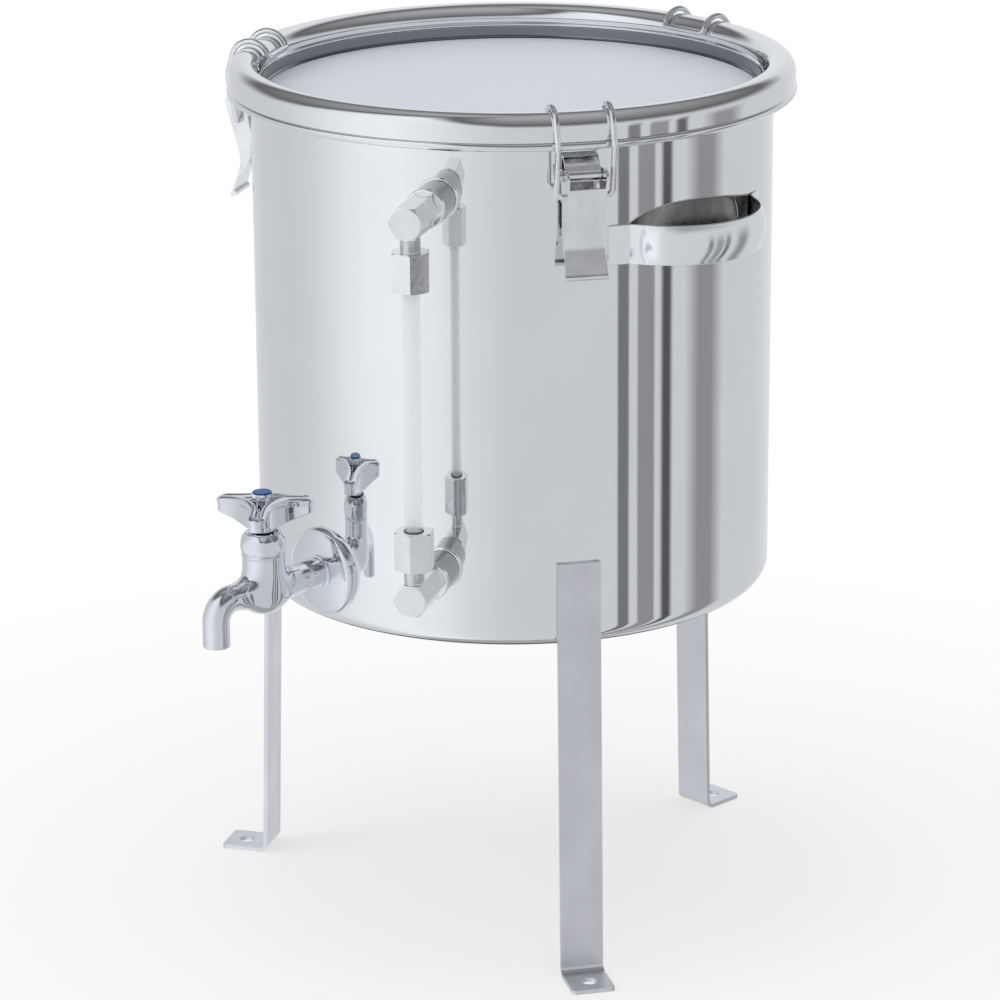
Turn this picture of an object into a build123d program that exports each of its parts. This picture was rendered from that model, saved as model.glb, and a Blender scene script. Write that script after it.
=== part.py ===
from build123d import *
import math
import os

os.makedirs("parts", exist_ok=True)

# Lengths are in mm. Z points up, the floor is Z = 0 and the tank axis is the Z axis.
# The tap faces -Y. Angles run from -Y towards +X, seen from above.
# Pieces on the wall are drawn facing -Y and then turned to their angle.
CLIP_ANGLES = (60, 180, 300)
LEG_ANGLES = (60, 180, 300)
HANDLE_ANGLES = (90, 270)
GAUGE_ANGLE = 30.5

# Tank shell
SHEET = 1.0
WALL_R = 181.0
TANK_BOTTOM_Z = 241.0
TANK_CORNER_R = 13.0
FLANGE_Z = 590.2
FLANGE_CORNER_R = 2.5
ROLL_R = 1.88
ROLL_OUTER_R = 196.3
ROLL_END_R = 191.0
ROLL_GAP = 0.02

# Lid and gasket
LID_EDGE_R = 196.3
LID_INNER_R = 174.7
LID_EDGE_Z = 592.4
LID_TOP_Z = 609.8
LID_BEAD_R = 10.5
CREASE_TOP_Z = 597.4
CREASE_Z = 595.6
CREASE_LOW_Z = 594.2
CREASE_R = 172.9
CREASE_EDGE_R = 1.0
CREASE_TIP_R = 1.3
PANEL_CORNER_R = 2.5
WELL_TOP_R = 174.3
WELL_R = 173.7
PANEL_Z = 586.0
GASKET_Z = 591.2
GASKET_INNER_R = 183.8
GASKET_OUTER_R = 196.6
RIB_INNER_R = 186.5
RIB_OUTER_R = 190.0
RIB_TOP_Z = 597.0

# Legs, of flat bar
LEG_W = 30.0
LEG_T = 3.0
LEG_TOP_Z = 298.0
LEG_BEND_Z = 248.0
LEG_BEND_R = 60.0
LEG_SPLAY = 7.0
FOOT_END_R = 223.2
FOOT_BEND_R = 5.5
FOOT_CORNER_R = 2.5
FOOT_HOLE_R = 5.5
FOOT_HOLE_CIRCLE_R = 209.0

# Carrying handles, of dished strap
STRAP_T = 1.5
STRAP_H = 27.2
STRAP_MID_Z = 516.3
BOW_R = 60.2
BOW_CENTRE_U = 154.3
BOW_END_ANGLE = 60
DISH_STATIONS = ((60, 0.05), (46, 1.3), (30, 2.4), (0, 2.6), (-30, 2.4), (-46, 1.3), (-60, 0.05))
NECK_T = 59.2
NECK_U = 172.1
NECK_BEND_R = 2.5
PAD_END_T = 72.2
PAD_END_U = 166.6

# Clips: base, pin, lever and wire bail
PIN_U = 190.5
PIN_Z = 567.5
PIN_R = 2.5
PIN_HALF = 14.7
PIN_HEAD_R = 4.0
PIN_HEAD_T = 1.5
KNUCKLE_R = 4.5
KNUCKLE_HALF = 11.8
BASE_T = 2.0
BASE_LOW_Z = 548.0
BASE_TURN_Z = 584.0
BASE_TURN_R = 2.6
STRAP_END_U = 193.6
STRAP_END_Z = 570.6
LEVER_T = 1.5
LEVER_TOP_HALF = 14.3
LEVER_WAIST_HALF = 13.2
LEVER_TAB_HALF = 14.9
LEVER_TOP_Z = 576.0
LEVER_WAIST_Z = 532.0
LEVER_TAB_Z = 498.0
PLATE_TOP_Z = 561.0
PLATE_KNEE = (195.2, 525.0)
PLATE_END = (203.2, 502.0)
PLATE_KNEE_R = 22.0
EAR_TOP = (207.9, 573.0)
EAR_END_Z = 513.0
EAR_HEEL = (193.3, 518.4)
EAR_BACK_LOW = (188.2, 529.5)
EAR_BACK_HIGH = (187.8, 545.0)
EAR_WAIST = (190.4, 559.5)
EAR_HEAD_LOW = (185.8, 563.5)
EAR_HEAD_HIGH = (185.8, 572.3)
EAR_TOP_R = 5.0
EAR_BACK_RADII = (0, 3.0, 6.0, 8.0, 4.0, 2.0, 4.4)
LIP_CENTRE = (201.6, 501.7)
LIP_R = 2.2
EAR_HOLE_R = 2.55
WIRE_R = 2.0
WIRE_HOLE_R = 2.05
WIRE_HALF = 19.0
WIRE_END_HALF = 10.0
WIRE_PIVOT = (195.8, 555.0)
WIRE_KNEE = (201.8, 588.0)
WIRE_OUTER = (196.6, 608.3)
WIRE_TOP = (186.4, 614.1)
WIRE_INNER = (175.1, 610.7)
WIRE_BAR = (170.9, 602.4)
WIRE_FOOT_BEND_R = 3.8
WIRE_KNEE_BEND_R = 12.0
WIRE_OVER_BEND_R = 13.3
WIRE_BAR_BEND_R = 3.3

# Tap
TAP_U = 235.2
INLET_Z = 276.3
INLET_R = 10.5
INLET_END_U = 166.0
INLET_BORE_R = 6.0
WALL_HOLE_R = 10.8
COLLAR_R = 12.0
COLLAR_START_U = 186.0
COLLAR_END_U = 187.6
BARREL_R = 14.6
BARREL_TOP_Z = 303.4
BOWL_Z = 260.0
BOWL_R = 13.0
BULGE_START_U = 213.0
BULGE_R = 14.0
BULGE_END_U = 262.0
SPOUT_R = 10.0
SPOUT_END_R = 9.35
SPOUT_U = 278.3
SPOUT_BEND_R = 14.0
BORE_BEND_R = 13.0
NOSE_Z = 258.5
SPOUT_END_Z = 245.5
SPOUT_BORE_R = 6.5
LOWER_CHAMBER_R = 7.0
LOWER_CHAMBER_Z = 264.0
SEAT_Z = 277.0
SEAT_HOLE_R = 5.0
SEAT_RING_R = 7.2
SEAT_RING_T = 1.2
UPPER_CHAMBER_R = 11.0
UPPER_CHAMBER_Z = 275.8
INLET_DROP_U = 200.0
INLET_DROP_Z = 268.5
OUTLET_HIGH_Z = 284.0
OUTLET_START = 5.0
OUTLET_DROP_U = 258.0
WATER_BEND_R = 8.0
BONNET_NECK_R = 11.0
BONNET_NECK_Z = 289.0
BONNET_R = 17.0
BONNET_FLATS = 29.6
BONNET_TURN = 12
BONNET_FOOT_R = 15.0
BONNET_FOOT_ROUND_R = 0.8
BONNET_WIDE_Z = 310.8
BONNET_TOP_Z = 317.0
BONNET_TOP_R = 12.4
BONNET_ROUND_R = 11.0
BONNET_LIP_R = 1.0
BONNET_CUP_R = 10.2
BONNET_CUP_Z = 311.5
PACKING_R = 7.5
PACKING_LOW_Z = 304.0
SPINDLE_R = 5.0
SPINDLE_BORE_R = 5.05
SPINDLE_LOW_Z = 282.4
SPINDLE_TOP_Z = 333.0
JUMPER_STEM_R = 2.5
JUMPER_STEM_TOP_Z = 292.0
JUMPER_HOLE_TOP_Z = 293.0
JUMPER_HOLE_R = 2.55
JUMPER_R = 7.0
JUMPER_LOW_Z = 280.2
JUMPER_TOP_Z = 282.2
WASHER_R = 6.8
WASHER_LOW_Z = 277.1
RIVET_R = 2.0

# Tap handle, its screw and index disc
ARM_ANGLES = (42, 162, 282)
ARM_STEP = 120
ARM_TIP_R = 37.0
ARM_HALF_W = 6.2
NOTCH_R = 12.4
HANDLE_LOW_Z = 317.5
HANDLE_TOP_Z = 341.0
ROLL_BAR_R = 2.4
ROLL_BAR_INSET = 1.8
ROLL_BAR_TIP_Z = 334.6
HUB_R = 7.5
HUB_TOP_Z = 321.0
TIP_LOW_Z = 327.5
TIP_TOP_Z = 336.6
DISH_R = 8.0
DISH_Z = 335.4
SHELL_T = 2.4
HOLLOW_INNER_R = 10.8
HOLLOW_OUTER_R = 34.6
SCREW_R = 7.25
SCREW_ROOT_R = 6.85
SCREW_TEETH = 32
SCREW_LOW_Z = 335.4
SCREW_TOP_Z = 344.5
SCREW_SHANK_R = 2.5
SCREW_SHANK_Z = 322.0
DISC_R = 6.6
DISC_ROUND_R = 0.7
DISC_TOP_Z = 345.5

# Escutcheon, packings and back nut of the tap
ESCUTCHEON_FACE_U = 186.0
ESCUTCHEON_T = 1.0
ESCUTCHEON_FACE_R = 28.4
ESCUTCHEON_RIM_R = 31.0
ESCUTCHEON_RIM_U = 177.6
ESCUTCHEON_CORNER_R = 1.6
OUTER_PACKING_R = 20.0
OUTER_PACKING_U = 185.0
INNER_PACKING_R = 17.0
INNER_PACKING_U = 176.5
BACK_NUT_FLATS = 30.0
BACK_NUT_U = 170.0

# Level gauge
TUBE_U = 244.5
TUBE_R = 6.0
TUBE_BORE_R = 4.2
TUBE_GAP = 0.2
TUBE_LOW_Z = 322.0
TUBE_HIGH_Z = 522.0
GAUGE_LOW_Z = 294.5
GAUGE_HIGH_Z = 550.0
BOSS_R = 13.0
BOSS_END_U = 205.0
BOSS_BORE_R = 6.5
GAUGE_HOLE_R = 5.0
GAUGE_COLLAR_R = 13.4
GAUGE_COLLAR_END_U = 212.0
ELBOW_FLATS = 21.0
ELBOW_END_U = 255.0
ELBOW_FACE_R = 10.2
ELBOW_SPIGOT_U = 190.0
ELBOW_BORE_R = 4.0
GAUGE_NECK_R = 6.3
GAUGE_NECK_END = 24.0
NUT_FLATS = 24.0
NUT_FACE_R = 12.6
NUT_START = 20.0
NUT_END = 46.0
NUT_SEAT = 27.5
NUT_THREAD_END = 24.0
SEAL_R = 9.0
SEAL_END = 40.0
LOWER_NUT_TURN = 35.65
UPPER_NUT_TURN = -45.65

UP = (Align.CENTER, Align.CENTER, Align.MIN)
SIDE = Plane(origin=(0, 0, 0), x_dir=(0, -1, 0), z_dir=(-1, 0, 0))


def turned(section):
    """Solid of revolution about Z, from a section in radius and height."""
    return revolve(Plane.XZ * section, Axis.Z)


def rod(radius, start, end):
    """Round bar along Z."""
    return Pos(0, 0, start) * Cylinder(radius, end - start, align=UP)


def outward(shape, height):
    """Lay a shape that was built along Z so that it points out of the wall."""
    return Pos(0, 0, height) * Rot(90, 0, 0) * shape


def around(shape, angle):
    """Turn a shape round the tank to its angle."""
    return Rot(0, 0, angle) * shape


def sheet(points, radii, thickness, side=Side.LEFT):
    """Section of a bent sheet, from one of its skins."""
    skin = FilletPolyline(*points, radius=radii)
    return make_face(offset(skin, thickness, side=side))


def across(section, half_width):
    """Bar of a section drawn outward and up, centred on the upright plane."""
    return extrude(SIDE * section, half_width, both=True)


def hex_bar(flats, start, end, turn=0):
    """Hexagonal bar along Z."""
    face = RegularPolygon(flats / 2, 6, major_radius=False)
    return Pos(0, 0, start) * Rot(0, 0, turn) * extrude(face, end - start)


def turned_hex(flats, start, end, face_r, turn=0):
    """Hexagonal bar whose corners are turned down at both ends."""
    corner = flats / math.sqrt(3)
    drop = (corner - face_r) / 2
    section = Polyline(
        (0, start),
        (face_r, start),
        (corner, start + drop),
        (corner, end - drop),
        (face_r, end),
        (0, end),
        close=True,
    )
    return hex_bar(flats, start, end, turn) & turned(make_face(section))


# Tank body
roll_low_z = FLANGE_Z - 2 * ROLL_R - ROLL_GAP
tank_skin = [
    (0, TANK_BOTTOM_Z),
    (WALL_R, TANK_BOTTOM_Z),
    (WALL_R, FLANGE_Z),
    (ROLL_OUTER_R, FLANGE_Z),
    (ROLL_OUTER_R, roll_low_z),
    (ROLL_END_R, roll_low_z),
]
tank_radii = [TANK_CORNER_R, FLANGE_CORNER_R, ROLL_R, ROLL_R]
tank_body = turned(sheet(tank_skin, tank_radii, SHEET))
tank_body -= outward(rod(WALL_HOLE_R, INLET_END_U, WALL_R), INLET_Z)
for gauge_z in (GAUGE_LOW_Z, GAUGE_HIGH_Z):
    tank_body -= around(outward(rod(GAUGE_HOLE_R, INLET_END_U, WALL_R), gauge_z), GAUGE_ANGLE)
outside = rod(WALL_R, 0, LID_TOP_Z)
inside = rod(WALL_R - SHEET, 0, LID_TOP_Z)

# Lid: a pressed sheet with a hollow bead, a well and a flat panel
lid_skin = [
    (LID_EDGE_R, LID_EDGE_Z),
    (LID_EDGE_R, LID_TOP_Z),
    (LID_INNER_R, LID_TOP_Z),
    (LID_INNER_R, CREASE_TOP_Z),
    (CREASE_R, CREASE_Z),
    (WELL_TOP_R, CREASE_LOW_Z),
    (WELL_R, PANEL_Z),
    (0, PANEL_Z),
]
lid_radii = [LID_BEAD_R, LID_BEAD_R, CREASE_EDGE_R, CREASE_TIP_R, CREASE_EDGE_R, PANEL_CORNER_R]
lid = turned(sheet(lid_skin, lid_radii, SHEET))

# Lid gasket: a flat ring whose rib stands in the bead of the lid
gasket_section = Polyline(
    (GASKET_INNER_R, GASKET_Z),
    (GASKET_OUTER_R, GASKET_Z),
    (GASKET_OUTER_R, LID_EDGE_Z),
    (RIB_OUTER_R, LID_EDGE_Z),
    (RIB_OUTER_R, RIB_TOP_Z),
    (RIB_INNER_R, RIB_TOP_Z),
    (RIB_INNER_R, LID_EDGE_Z),
    (GASKET_INNER_R, LID_EDGE_Z),
    close=True,
)
lid_gasket = turned(make_face(gasket_section))

# Leg: flat bar on the wall, bent out to a foot with a bolt hole
foot_start_u = WALL_R + LEG_SPLAY
leg_skin = [
    (WALL_R, LEG_TOP_Z),
    (WALL_R, LEG_BEND_Z),
    (foot_start_u, 0),
    (FOOT_END_R, 0),
]
leg_section = sheet(leg_skin, [LEG_BEND_R, FOOT_BEND_R + LEG_T / 2], LEG_T)
leg = across(leg_section, LEG_W / 2)
foot_corners = leg.edges().filter_by(Axis.Z).group_by(Axis.Y)[0]
leg = fillet(foot_corners, FOOT_CORNER_R)
leg -= Pos(0, -FOOT_HOLE_CIRCLE_R, 0) * rod(FOOT_HOLE_R, 0, LEG_T)
legs = [around(leg, angle) for angle in LEG_ANGLES]


# Carrying handle: a dished bow with a flat neck and a welded pad at each end
def strap_station(angle, dish):
    """Cross-section of the bow at an angle from its middle."""
    half = STRAP_H / 2
    inner = ThreePointArc((0, -half), (dish, 0), (0, half))
    outer = ThreePointArc((STRAP_T, half), (STRAP_T + dish, 0), (STRAP_T, -half))
    ends = Line((0, half), (STRAP_T, half)) + Line((STRAP_T, -half), (0, -half))
    face = make_face(inner + outer + ends)
    place = Pos(0, -BOW_CENTRE_U, STRAP_MID_Z) * Rot(0, 0, angle)
    return place * (SIDE * (Pos(BOW_R - STRAP_T / 2, 0) * face))


def strap_end(side):
    """Flat neck and pad at one end of the bow, drawn in plan."""
    bow_end = math.radians(BOW_END_ANGLE)
    start = (side * BOW_R * math.sin(bow_end), -BOW_CENTRE_U - BOW_R * math.cos(bow_end))
    path = FilletPolyline(
        start,
        (side * NECK_T, -NECK_U),
        (side * PAD_END_T, -PAD_END_U),
        radius=NECK_BEND_R,
    )
    plan = trace(path, STRAP_T)
    end = Pos(0, 0, STRAP_MID_Z - STRAP_H / 2) * extrude(plan, STRAP_H)
    return end - outside


bow = loft([strap_station(angle, dish) for angle, dish in DISH_STATIONS])
carry_handle = bow + strap_end(1) + strap_end(-1)
carry_handles = [around(carry_handle, angle) for angle in HANDLE_ANGLES]

# Clip base: a pad on the wall whose strap turns over and ends in the knuckle
base_line = FilletPolyline(
    (WALL_R + BASE_T / 2, BASE_LOW_Z),
    (WALL_R + BASE_T / 2, BASE_TURN_Z),
    (STRAP_END_U, STRAP_END_Z),
    radius=BASE_TURN_R,
)
knuckle = Pos(PIN_U, PIN_Z) * Circle(KNUCKLE_R)
pin_hole = Pos(PIN_U, PIN_Z) * Circle(PIN_R)
clip_base = across(trace(base_line, BASE_T) + knuckle - pin_hole, KNUCKLE_HALF) - outside
clip_bases = [around(clip_base, angle) for angle in CLIP_ANGLES]

# Clip pin: fixed in the knuckle, with a head outside each ear of the lever
pin_shank = across(Pos(PIN_U, PIN_Z) * Circle(PIN_R), PIN_HALF)
pin_head = across(Pos(PIN_U, PIN_Z) * Circle(PIN_HEAD_R), PIN_HALF + PIN_HEAD_T)
pin_gap = across(Pos(PIN_U, PIN_Z) * Circle(PIN_HEAD_R), PIN_HALF)
clip_pin = pin_shank + (pin_head - pin_gap)
clip_pins = [around(clip_pin, angle) for angle in CLIP_ANGLES]


# Clip lever: a pressed channel with two ears and a rolled finger tab
def at_height(start, end, z):
    """Point at a height on the line between two points of a side view."""
    share = (z - start[1]) / (end[1] - start[1])
    return (start[0] + share * (end[0] - start[0]), z)


plate_top = at_height(EAR_TOP, PLATE_KNEE, PLATE_TOP_Z)
plate_section = sheet([plate_top, PLATE_KNEE, PLATE_END], [PLATE_KNEE_R], LEVER_T, Side.RIGHT)
lip_section = Pos(*LIP_CENTRE) * Circle(LIP_R)
ear_outline = FilletPolyline(
    EAR_TOP,
    PLATE_KNEE,
    at_height(PLATE_KNEE, PLATE_END, EAR_END_Z),
    EAR_HEEL,
    EAR_BACK_LOW,
    EAR_BACK_HIGH,
    EAR_WAIST,
    EAR_HEAD_LOW,
    EAR_HEAD_HIGH,
    radius=[EAR_TOP_R, PLATE_KNEE_R, *EAR_BACK_RADII],
    close=True,
)
lever_section = make_face(ear_outline) + plate_section + lip_section
hollow_section = lever_section - plate_section - lip_section


def lever_front(inset):
    """Width of the lever seen from the front, narrowest at its waist."""
    right = ThreePointArc(
        (LEVER_TOP_HALF - inset, LEVER_TOP_Z),
        (LEVER_WAIST_HALF - inset, LEVER_WAIST_Z),
        (LEVER_TAB_HALF - inset, LEVER_TAB_Z),
    )
    left = mirror(right, Plane.YZ)
    top = Line(right @ 0, left @ 0)
    low = Line(right @ 1, left @ 1)
    return extrude(Plane.XZ * make_face(right + left + top + low), PIN_U + WALL_R)


lever_hollow = across(hollow_section, LEVER_TAB_HALF) & lever_front(LEVER_T)
clip_lever = (across(lever_section, LEVER_TAB_HALF) & lever_front(0)) - lever_hollow
clip_lever -= across(Pos(PIN_U, PIN_Z) * Circle(EAR_HOLE_R), LEVER_TAB_HALF)
clip_lever -= across(Pos(*WIRE_PIVOT) * Circle(WIRE_HOLE_R), LEVER_TAB_HALF)
clip_levers = [around(clip_lever, angle) for angle in CLIP_ANGLES]

# Clip bail: one bent wire, from the lever over the bead of the lid and back
wire_side = [WIRE_PIVOT, WIRE_KNEE, WIRE_OUTER, WIRE_TOP, WIRE_INNER, WIRE_BAR]
wire_right = [(WIRE_HALF, -u, z) for u, z in wire_side]
wire_left = [(-WIRE_HALF, -u, z) for u, z in reversed(wire_side)]
wire_start = (WIRE_END_HALF, -WIRE_PIVOT[0], WIRE_PIVOT[1])
wire_end = (-WIRE_END_HALF, -WIRE_PIVOT[0], WIRE_PIVOT[1])
side_bends = [WIRE_FOOT_BEND_R, WIRE_KNEE_BEND_R] + [WIRE_OVER_BEND_R] * 3 + [WIRE_BAR_BEND_R]
wire = FilletPolyline(
    wire_start,
    *wire_right,
    *wire_left,
    wire_end,
    radius=side_bends + side_bends[::-1],
)
wire_face = Plane(wire @ 0, z_dir=wire % 0) * Circle(WIRE_R)
clip_bail = sweep(wire_face, path=wire)
clip_bails = [around(clip_bail, angle) for angle in CLIP_ANGLES]

# Tap body: inlet, bowl, barrel and spout in one casting, with its water way
barrel_line = FilletPolyline(
    (0, BOWL_Z),
    (BARREL_R, BOWL_Z),
    (BARREL_R, BARREL_TOP_Z),
    (0, BARREL_TOP_Z),
    radius=[BOWL_R, 0],
)
barrel_section = barrel_line + Line(barrel_line @ 1, barrel_line @ 0)
barrel = Pos(0, -TAP_U, 0) * turned(make_face(barrel_section))
bulge_line = Spline(
    (INLET_R, BULGE_START_U),
    (BULGE_R, TAP_U),
    (SPOUT_R, BULGE_END_U),
    tangents=((0, 1), (0, 1), (0, 1)),
)
bulge_section = (
    bulge_line
    + Line((INLET_R, BULGE_START_U), (0, BULGE_START_U))
    + Line((0, BULGE_START_U), (0, BULGE_END_U))
    + Line((0, BULGE_END_U), (SPOUT_R, BULGE_END_U))
)
bulge = outward(turned(make_face(bulge_section)), INLET_Z)
inlet = outward(rod(INLET_R, INLET_END_U, BULGE_START_U), INLET_Z)
inlet += outward(rod(COLLAR_R, COLLAR_START_U, COLLAR_END_U), INLET_Z)
spout_path = FilletPolyline(
    (0, -BULGE_END_U, INLET_Z),
    (0, -SPOUT_U, INLET_Z),
    (0, -SPOUT_U, NOSE_Z),
    radius=SPOUT_BEND_R,
)
spout_start = Plane(spout_path @ 0, z_dir=spout_path % 0)
spout_end = Plane(spout_path @ 1, z_dir=spout_path % 1)
spout_ends = [spout_start * Circle(SPOUT_R), spout_end * Circle(SPOUT_END_R)]
spout = sweep(spout_ends, path=spout_path, multisection=True)
spout += Pos(0, -SPOUT_U, 0) * rod(SPOUT_END_R, SPOUT_END_Z, NOSE_Z)
tap_body = barrel + bulge + inlet + spout
tap_axis = Pos(0, -TAP_U, 0)
tap_body -= tap_axis * rod(UPPER_CHAMBER_R, UPPER_CHAMBER_Z, BARREL_TOP_Z)
tap_body += tap_axis * rod(SEAT_RING_R, UPPER_CHAMBER_Z - SEAT_RING_T, SEAT_Z)
tap_body -= tap_axis * rod(LOWER_CHAMBER_R, LOWER_CHAMBER_Z, UPPER_CHAMBER_Z - 2 * SEAT_RING_T)
tap_body -= tap_axis * rod(SEAT_HOLE_R, LOWER_CHAMBER_Z, SEAT_Z)
inlet_way = FilletPolyline(
    (0, -INLET_END_U, INLET_Z),
    (0, -INLET_DROP_U, INLET_Z),
    (0, -TAP_U, INLET_DROP_Z),
    radius=WATER_BEND_R,
)
outlet_way = FilletPolyline(
    (0, -TAP_U - OUTLET_START, OUTLET_HIGH_Z),
    (0, -OUTLET_DROP_U, INLET_Z),
    (0, -SPOUT_U, INLET_Z),
    (0, -SPOUT_U, SPOUT_END_Z),
    radius=[WATER_BEND_R, BORE_BEND_R],
)
tap_body -= sweep(Plane(inlet_way @ 0, z_dir=inlet_way % 0) * Circle(INLET_BORE_R), path=inlet_way)
tap_body -= sweep(Plane(outlet_way @ 0, z_dir=outlet_way % 0) * Circle(SPOUT_BORE_R), path=outlet_way)

# Tap bonnet: a domed hexagon screwed into the barrel, with a cup for the packing
bonnet_dome = FilletPolyline(
    (0, BARREL_TOP_Z),
    (BONNET_FOOT_R, BARREL_TOP_Z),
    (BONNET_R, BONNET_WIDE_Z),
    (BONNET_TOP_R, BONNET_TOP_Z),
    (0, BONNET_TOP_Z),
    radius=[BONNET_FOOT_ROUND_R, BONNET_ROUND_R, BONNET_LIP_R],
)
dome_section = make_face(bonnet_dome + Line(bonnet_dome @ 1, bonnet_dome @ 0))
tap_bonnet = turned(dome_section) & hex_bar(BONNET_FLATS, BARREL_TOP_Z, BONNET_TOP_Z, BONNET_TURN)
tap_bonnet += rod(BONNET_NECK_R, BONNET_NECK_Z, BARREL_TOP_Z)
tap_bonnet -= rod(BONNET_CUP_R, BONNET_CUP_Z, BONNET_TOP_Z)
tap_bonnet -= rod(PACKING_R, PACKING_LOW_Z, BONNET_CUP_Z)
tap_bonnet -= rod(SPINDLE_BORE_R, BONNET_NECK_Z, BONNET_TOP_Z)
tap_bonnet = tap_axis * tap_bonnet

# Spindle packing: the seal round the spindle, in the bonnet
packing_ring = rod(PACKING_R, PACKING_LOW_Z, BONNET_CUP_Z)
packing_ring -= rod(SPINDLE_BORE_R, PACKING_LOW_Z, BONNET_CUP_Z)
tap_packing = tap_axis * packing_ring

# Spindle: turned by the handle, hollow below for the stem of the jumper
tap_spindle = rod(SPINDLE_R, SPINDLE_LOW_Z, SPINDLE_TOP_Z)
tap_spindle -= rod(JUMPER_HOLE_R, SPINDLE_LOW_Z, JUMPER_HOLE_TOP_Z)
tap_spindle -= rod(SCREW_SHANK_R, SCREW_SHANK_Z, SPINDLE_TOP_Z)
tap_spindle = tap_axis * tap_spindle

# Jumper: the valve disc and its stem, with a rubber washer under the disc
tap_jumper = rod(JUMPER_R, JUMPER_LOW_Z, JUMPER_TOP_Z)
tap_jumper += rod(JUMPER_STEM_R, JUMPER_TOP_Z, JUMPER_STEM_TOP_Z)
tap_jumper += rod(RIVET_R, WASHER_LOW_Z, JUMPER_LOW_Z)
tap_jumper = tap_axis * tap_jumper
jumper_ring = rod(WASHER_R, WASHER_LOW_Z, JUMPER_LOW_Z)
jumper_ring -= rod(RIVET_R, WASHER_LOW_Z, JUMPER_LOW_Z)
tap_jumper_washer = tap_axis * jumper_ring


# Tap handle: three arms with a rolled bar along each hollow side, open underneath
def arm_side(angle, side, inset):
    """Point beside the round tip of an arm, in plan."""
    turn = math.radians(angle)
    along = ARM_TIP_R - ARM_HALF_W
    out = side * (ARM_HALF_W - inset)
    return (
        along * math.sin(turn) + out * math.cos(turn),
        -along * math.cos(turn) + out * math.sin(turn),
    )


def on_bearing(angle, radius):
    """Point at a bearing from the spindle, in plan."""
    turn = math.radians(angle)
    return (radius * math.sin(turn), -radius * math.cos(turn))


def star(inset):
    """Plan of the handle: three round tips joined by hollow sides."""
    outline = []
    for angle in ARM_ANGLES:
        tip = on_bearing(angle, ARM_TIP_R - inset)
        notch = on_bearing(angle + ARM_STEP / 2, NOTCH_R - inset)
        tip_end = arm_side(angle, 1, inset)
        next_start = arm_side(angle + ARM_STEP, -1, inset)
        outline.append(ThreePointArc(arm_side(angle, -1, inset), tip, tip_end))
        outline.append(ThreePointArc(tip_end, notch, next_start))
    return make_face(outline)


def star_bar(inset):
    """The plan of the handle as a bar."""
    return Pos(0, 0, HANDLE_LOW_Z) * extrude(star(inset), HANDLE_TOP_Z - HANDLE_LOW_Z)


def roll_bar(angle):
    """Round bar from one tip to the next, highest beside the screw."""
    start = (*arm_side(angle, 1, ROLL_BAR_INSET), ROLL_BAR_TIP_Z)
    notch = on_bearing(angle + ARM_STEP / 2, NOTCH_R - ROLL_BAR_INSET)
    middle = (*notch, HANDLE_TOP_Z - ROLL_BAR_R)
    end = (*arm_side(angle + ARM_STEP, -1, ROLL_BAR_INSET), ROLL_BAR_TIP_Z)
    path = ThreePointArc(start, middle, end)
    return sweep(Plane(path @ 0, z_dir=path % 0) * Circle(ROLL_BAR_R), path=path)


handle_side = Polyline(
    (0, HANDLE_LOW_Z),
    (HUB_R, HANDLE_LOW_Z),
    (HUB_R, HUB_TOP_Z),
    (ARM_TIP_R, TIP_LOW_Z),
    (ARM_TIP_R, TIP_TOP_Z),
    (DISH_R, DISH_Z),
    (0, DISH_Z),
    close=True,
)
hollow_side = Polyline(
    (HOLLOW_INNER_R, HANDLE_LOW_Z),
    (HOLLOW_OUTER_R, HANDLE_LOW_Z),
    (HOLLOW_OUTER_R, TIP_TOP_Z - SHELL_T),
    (HOLLOW_INNER_R, DISH_Z - SHELL_T),
    close=True,
)
tap_handle = star_bar(0) & turned(make_face(handle_side))
for angle in ARM_ANGLES:
    tap_handle += roll_bar(angle)
tap_handle -= star_bar(SHELL_T) & turned(make_face(hollow_side))
tap_handle -= rod(SPINDLE_R, HANDLE_LOW_Z, SPINDLE_TOP_Z)
tap_handle -= rod(SCREW_SHANK_R, SPINDLE_TOP_Z, DISH_Z)
tap_handle = tap_axis * tap_handle

# Handle screw: a knurled button with a shank, and the index disc in its top
knurl = []
for tooth in range(2 * SCREW_TEETH):
    radius = SCREW_R if tooth % 2 else SCREW_ROOT_R
    turn = math.pi * tooth / SCREW_TEETH
    knurl.append((radius * math.cos(turn), radius * math.sin(turn)))
knurl_face = make_face(Polyline(*knurl, close=True))
tap_handle_screw = Pos(0, 0, SCREW_LOW_Z) * extrude(knurl_face, SCREW_TOP_Z - SCREW_LOW_Z)
tap_handle_screw += rod(SCREW_SHANK_R, SCREW_SHANK_Z, SCREW_LOW_Z)
tap_handle_screw = tap_axis * tap_handle_screw
index_disc = rod(DISC_R, SCREW_TOP_Z, DISC_TOP_Z)
index_disc = fillet(index_disc.edges().group_by(Axis.Z)[-1], DISC_ROUND_R)
tap_index_disc = tap_axis * index_disc

# Escutcheon: a shallow pressed cup round the inlet, trimmed to the wall
cup_skin = [
    (INLET_R, ESCUTCHEON_FACE_U),
    (ESCUTCHEON_FACE_R, ESCUTCHEON_FACE_U),
    (ESCUTCHEON_RIM_R, ESCUTCHEON_RIM_U),
]
cup_section = sheet(cup_skin, [ESCUTCHEON_CORNER_R], ESCUTCHEON_T, Side.RIGHT)
tap_escutcheon = outward(turned(cup_section), INLET_Z) - outside

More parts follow.
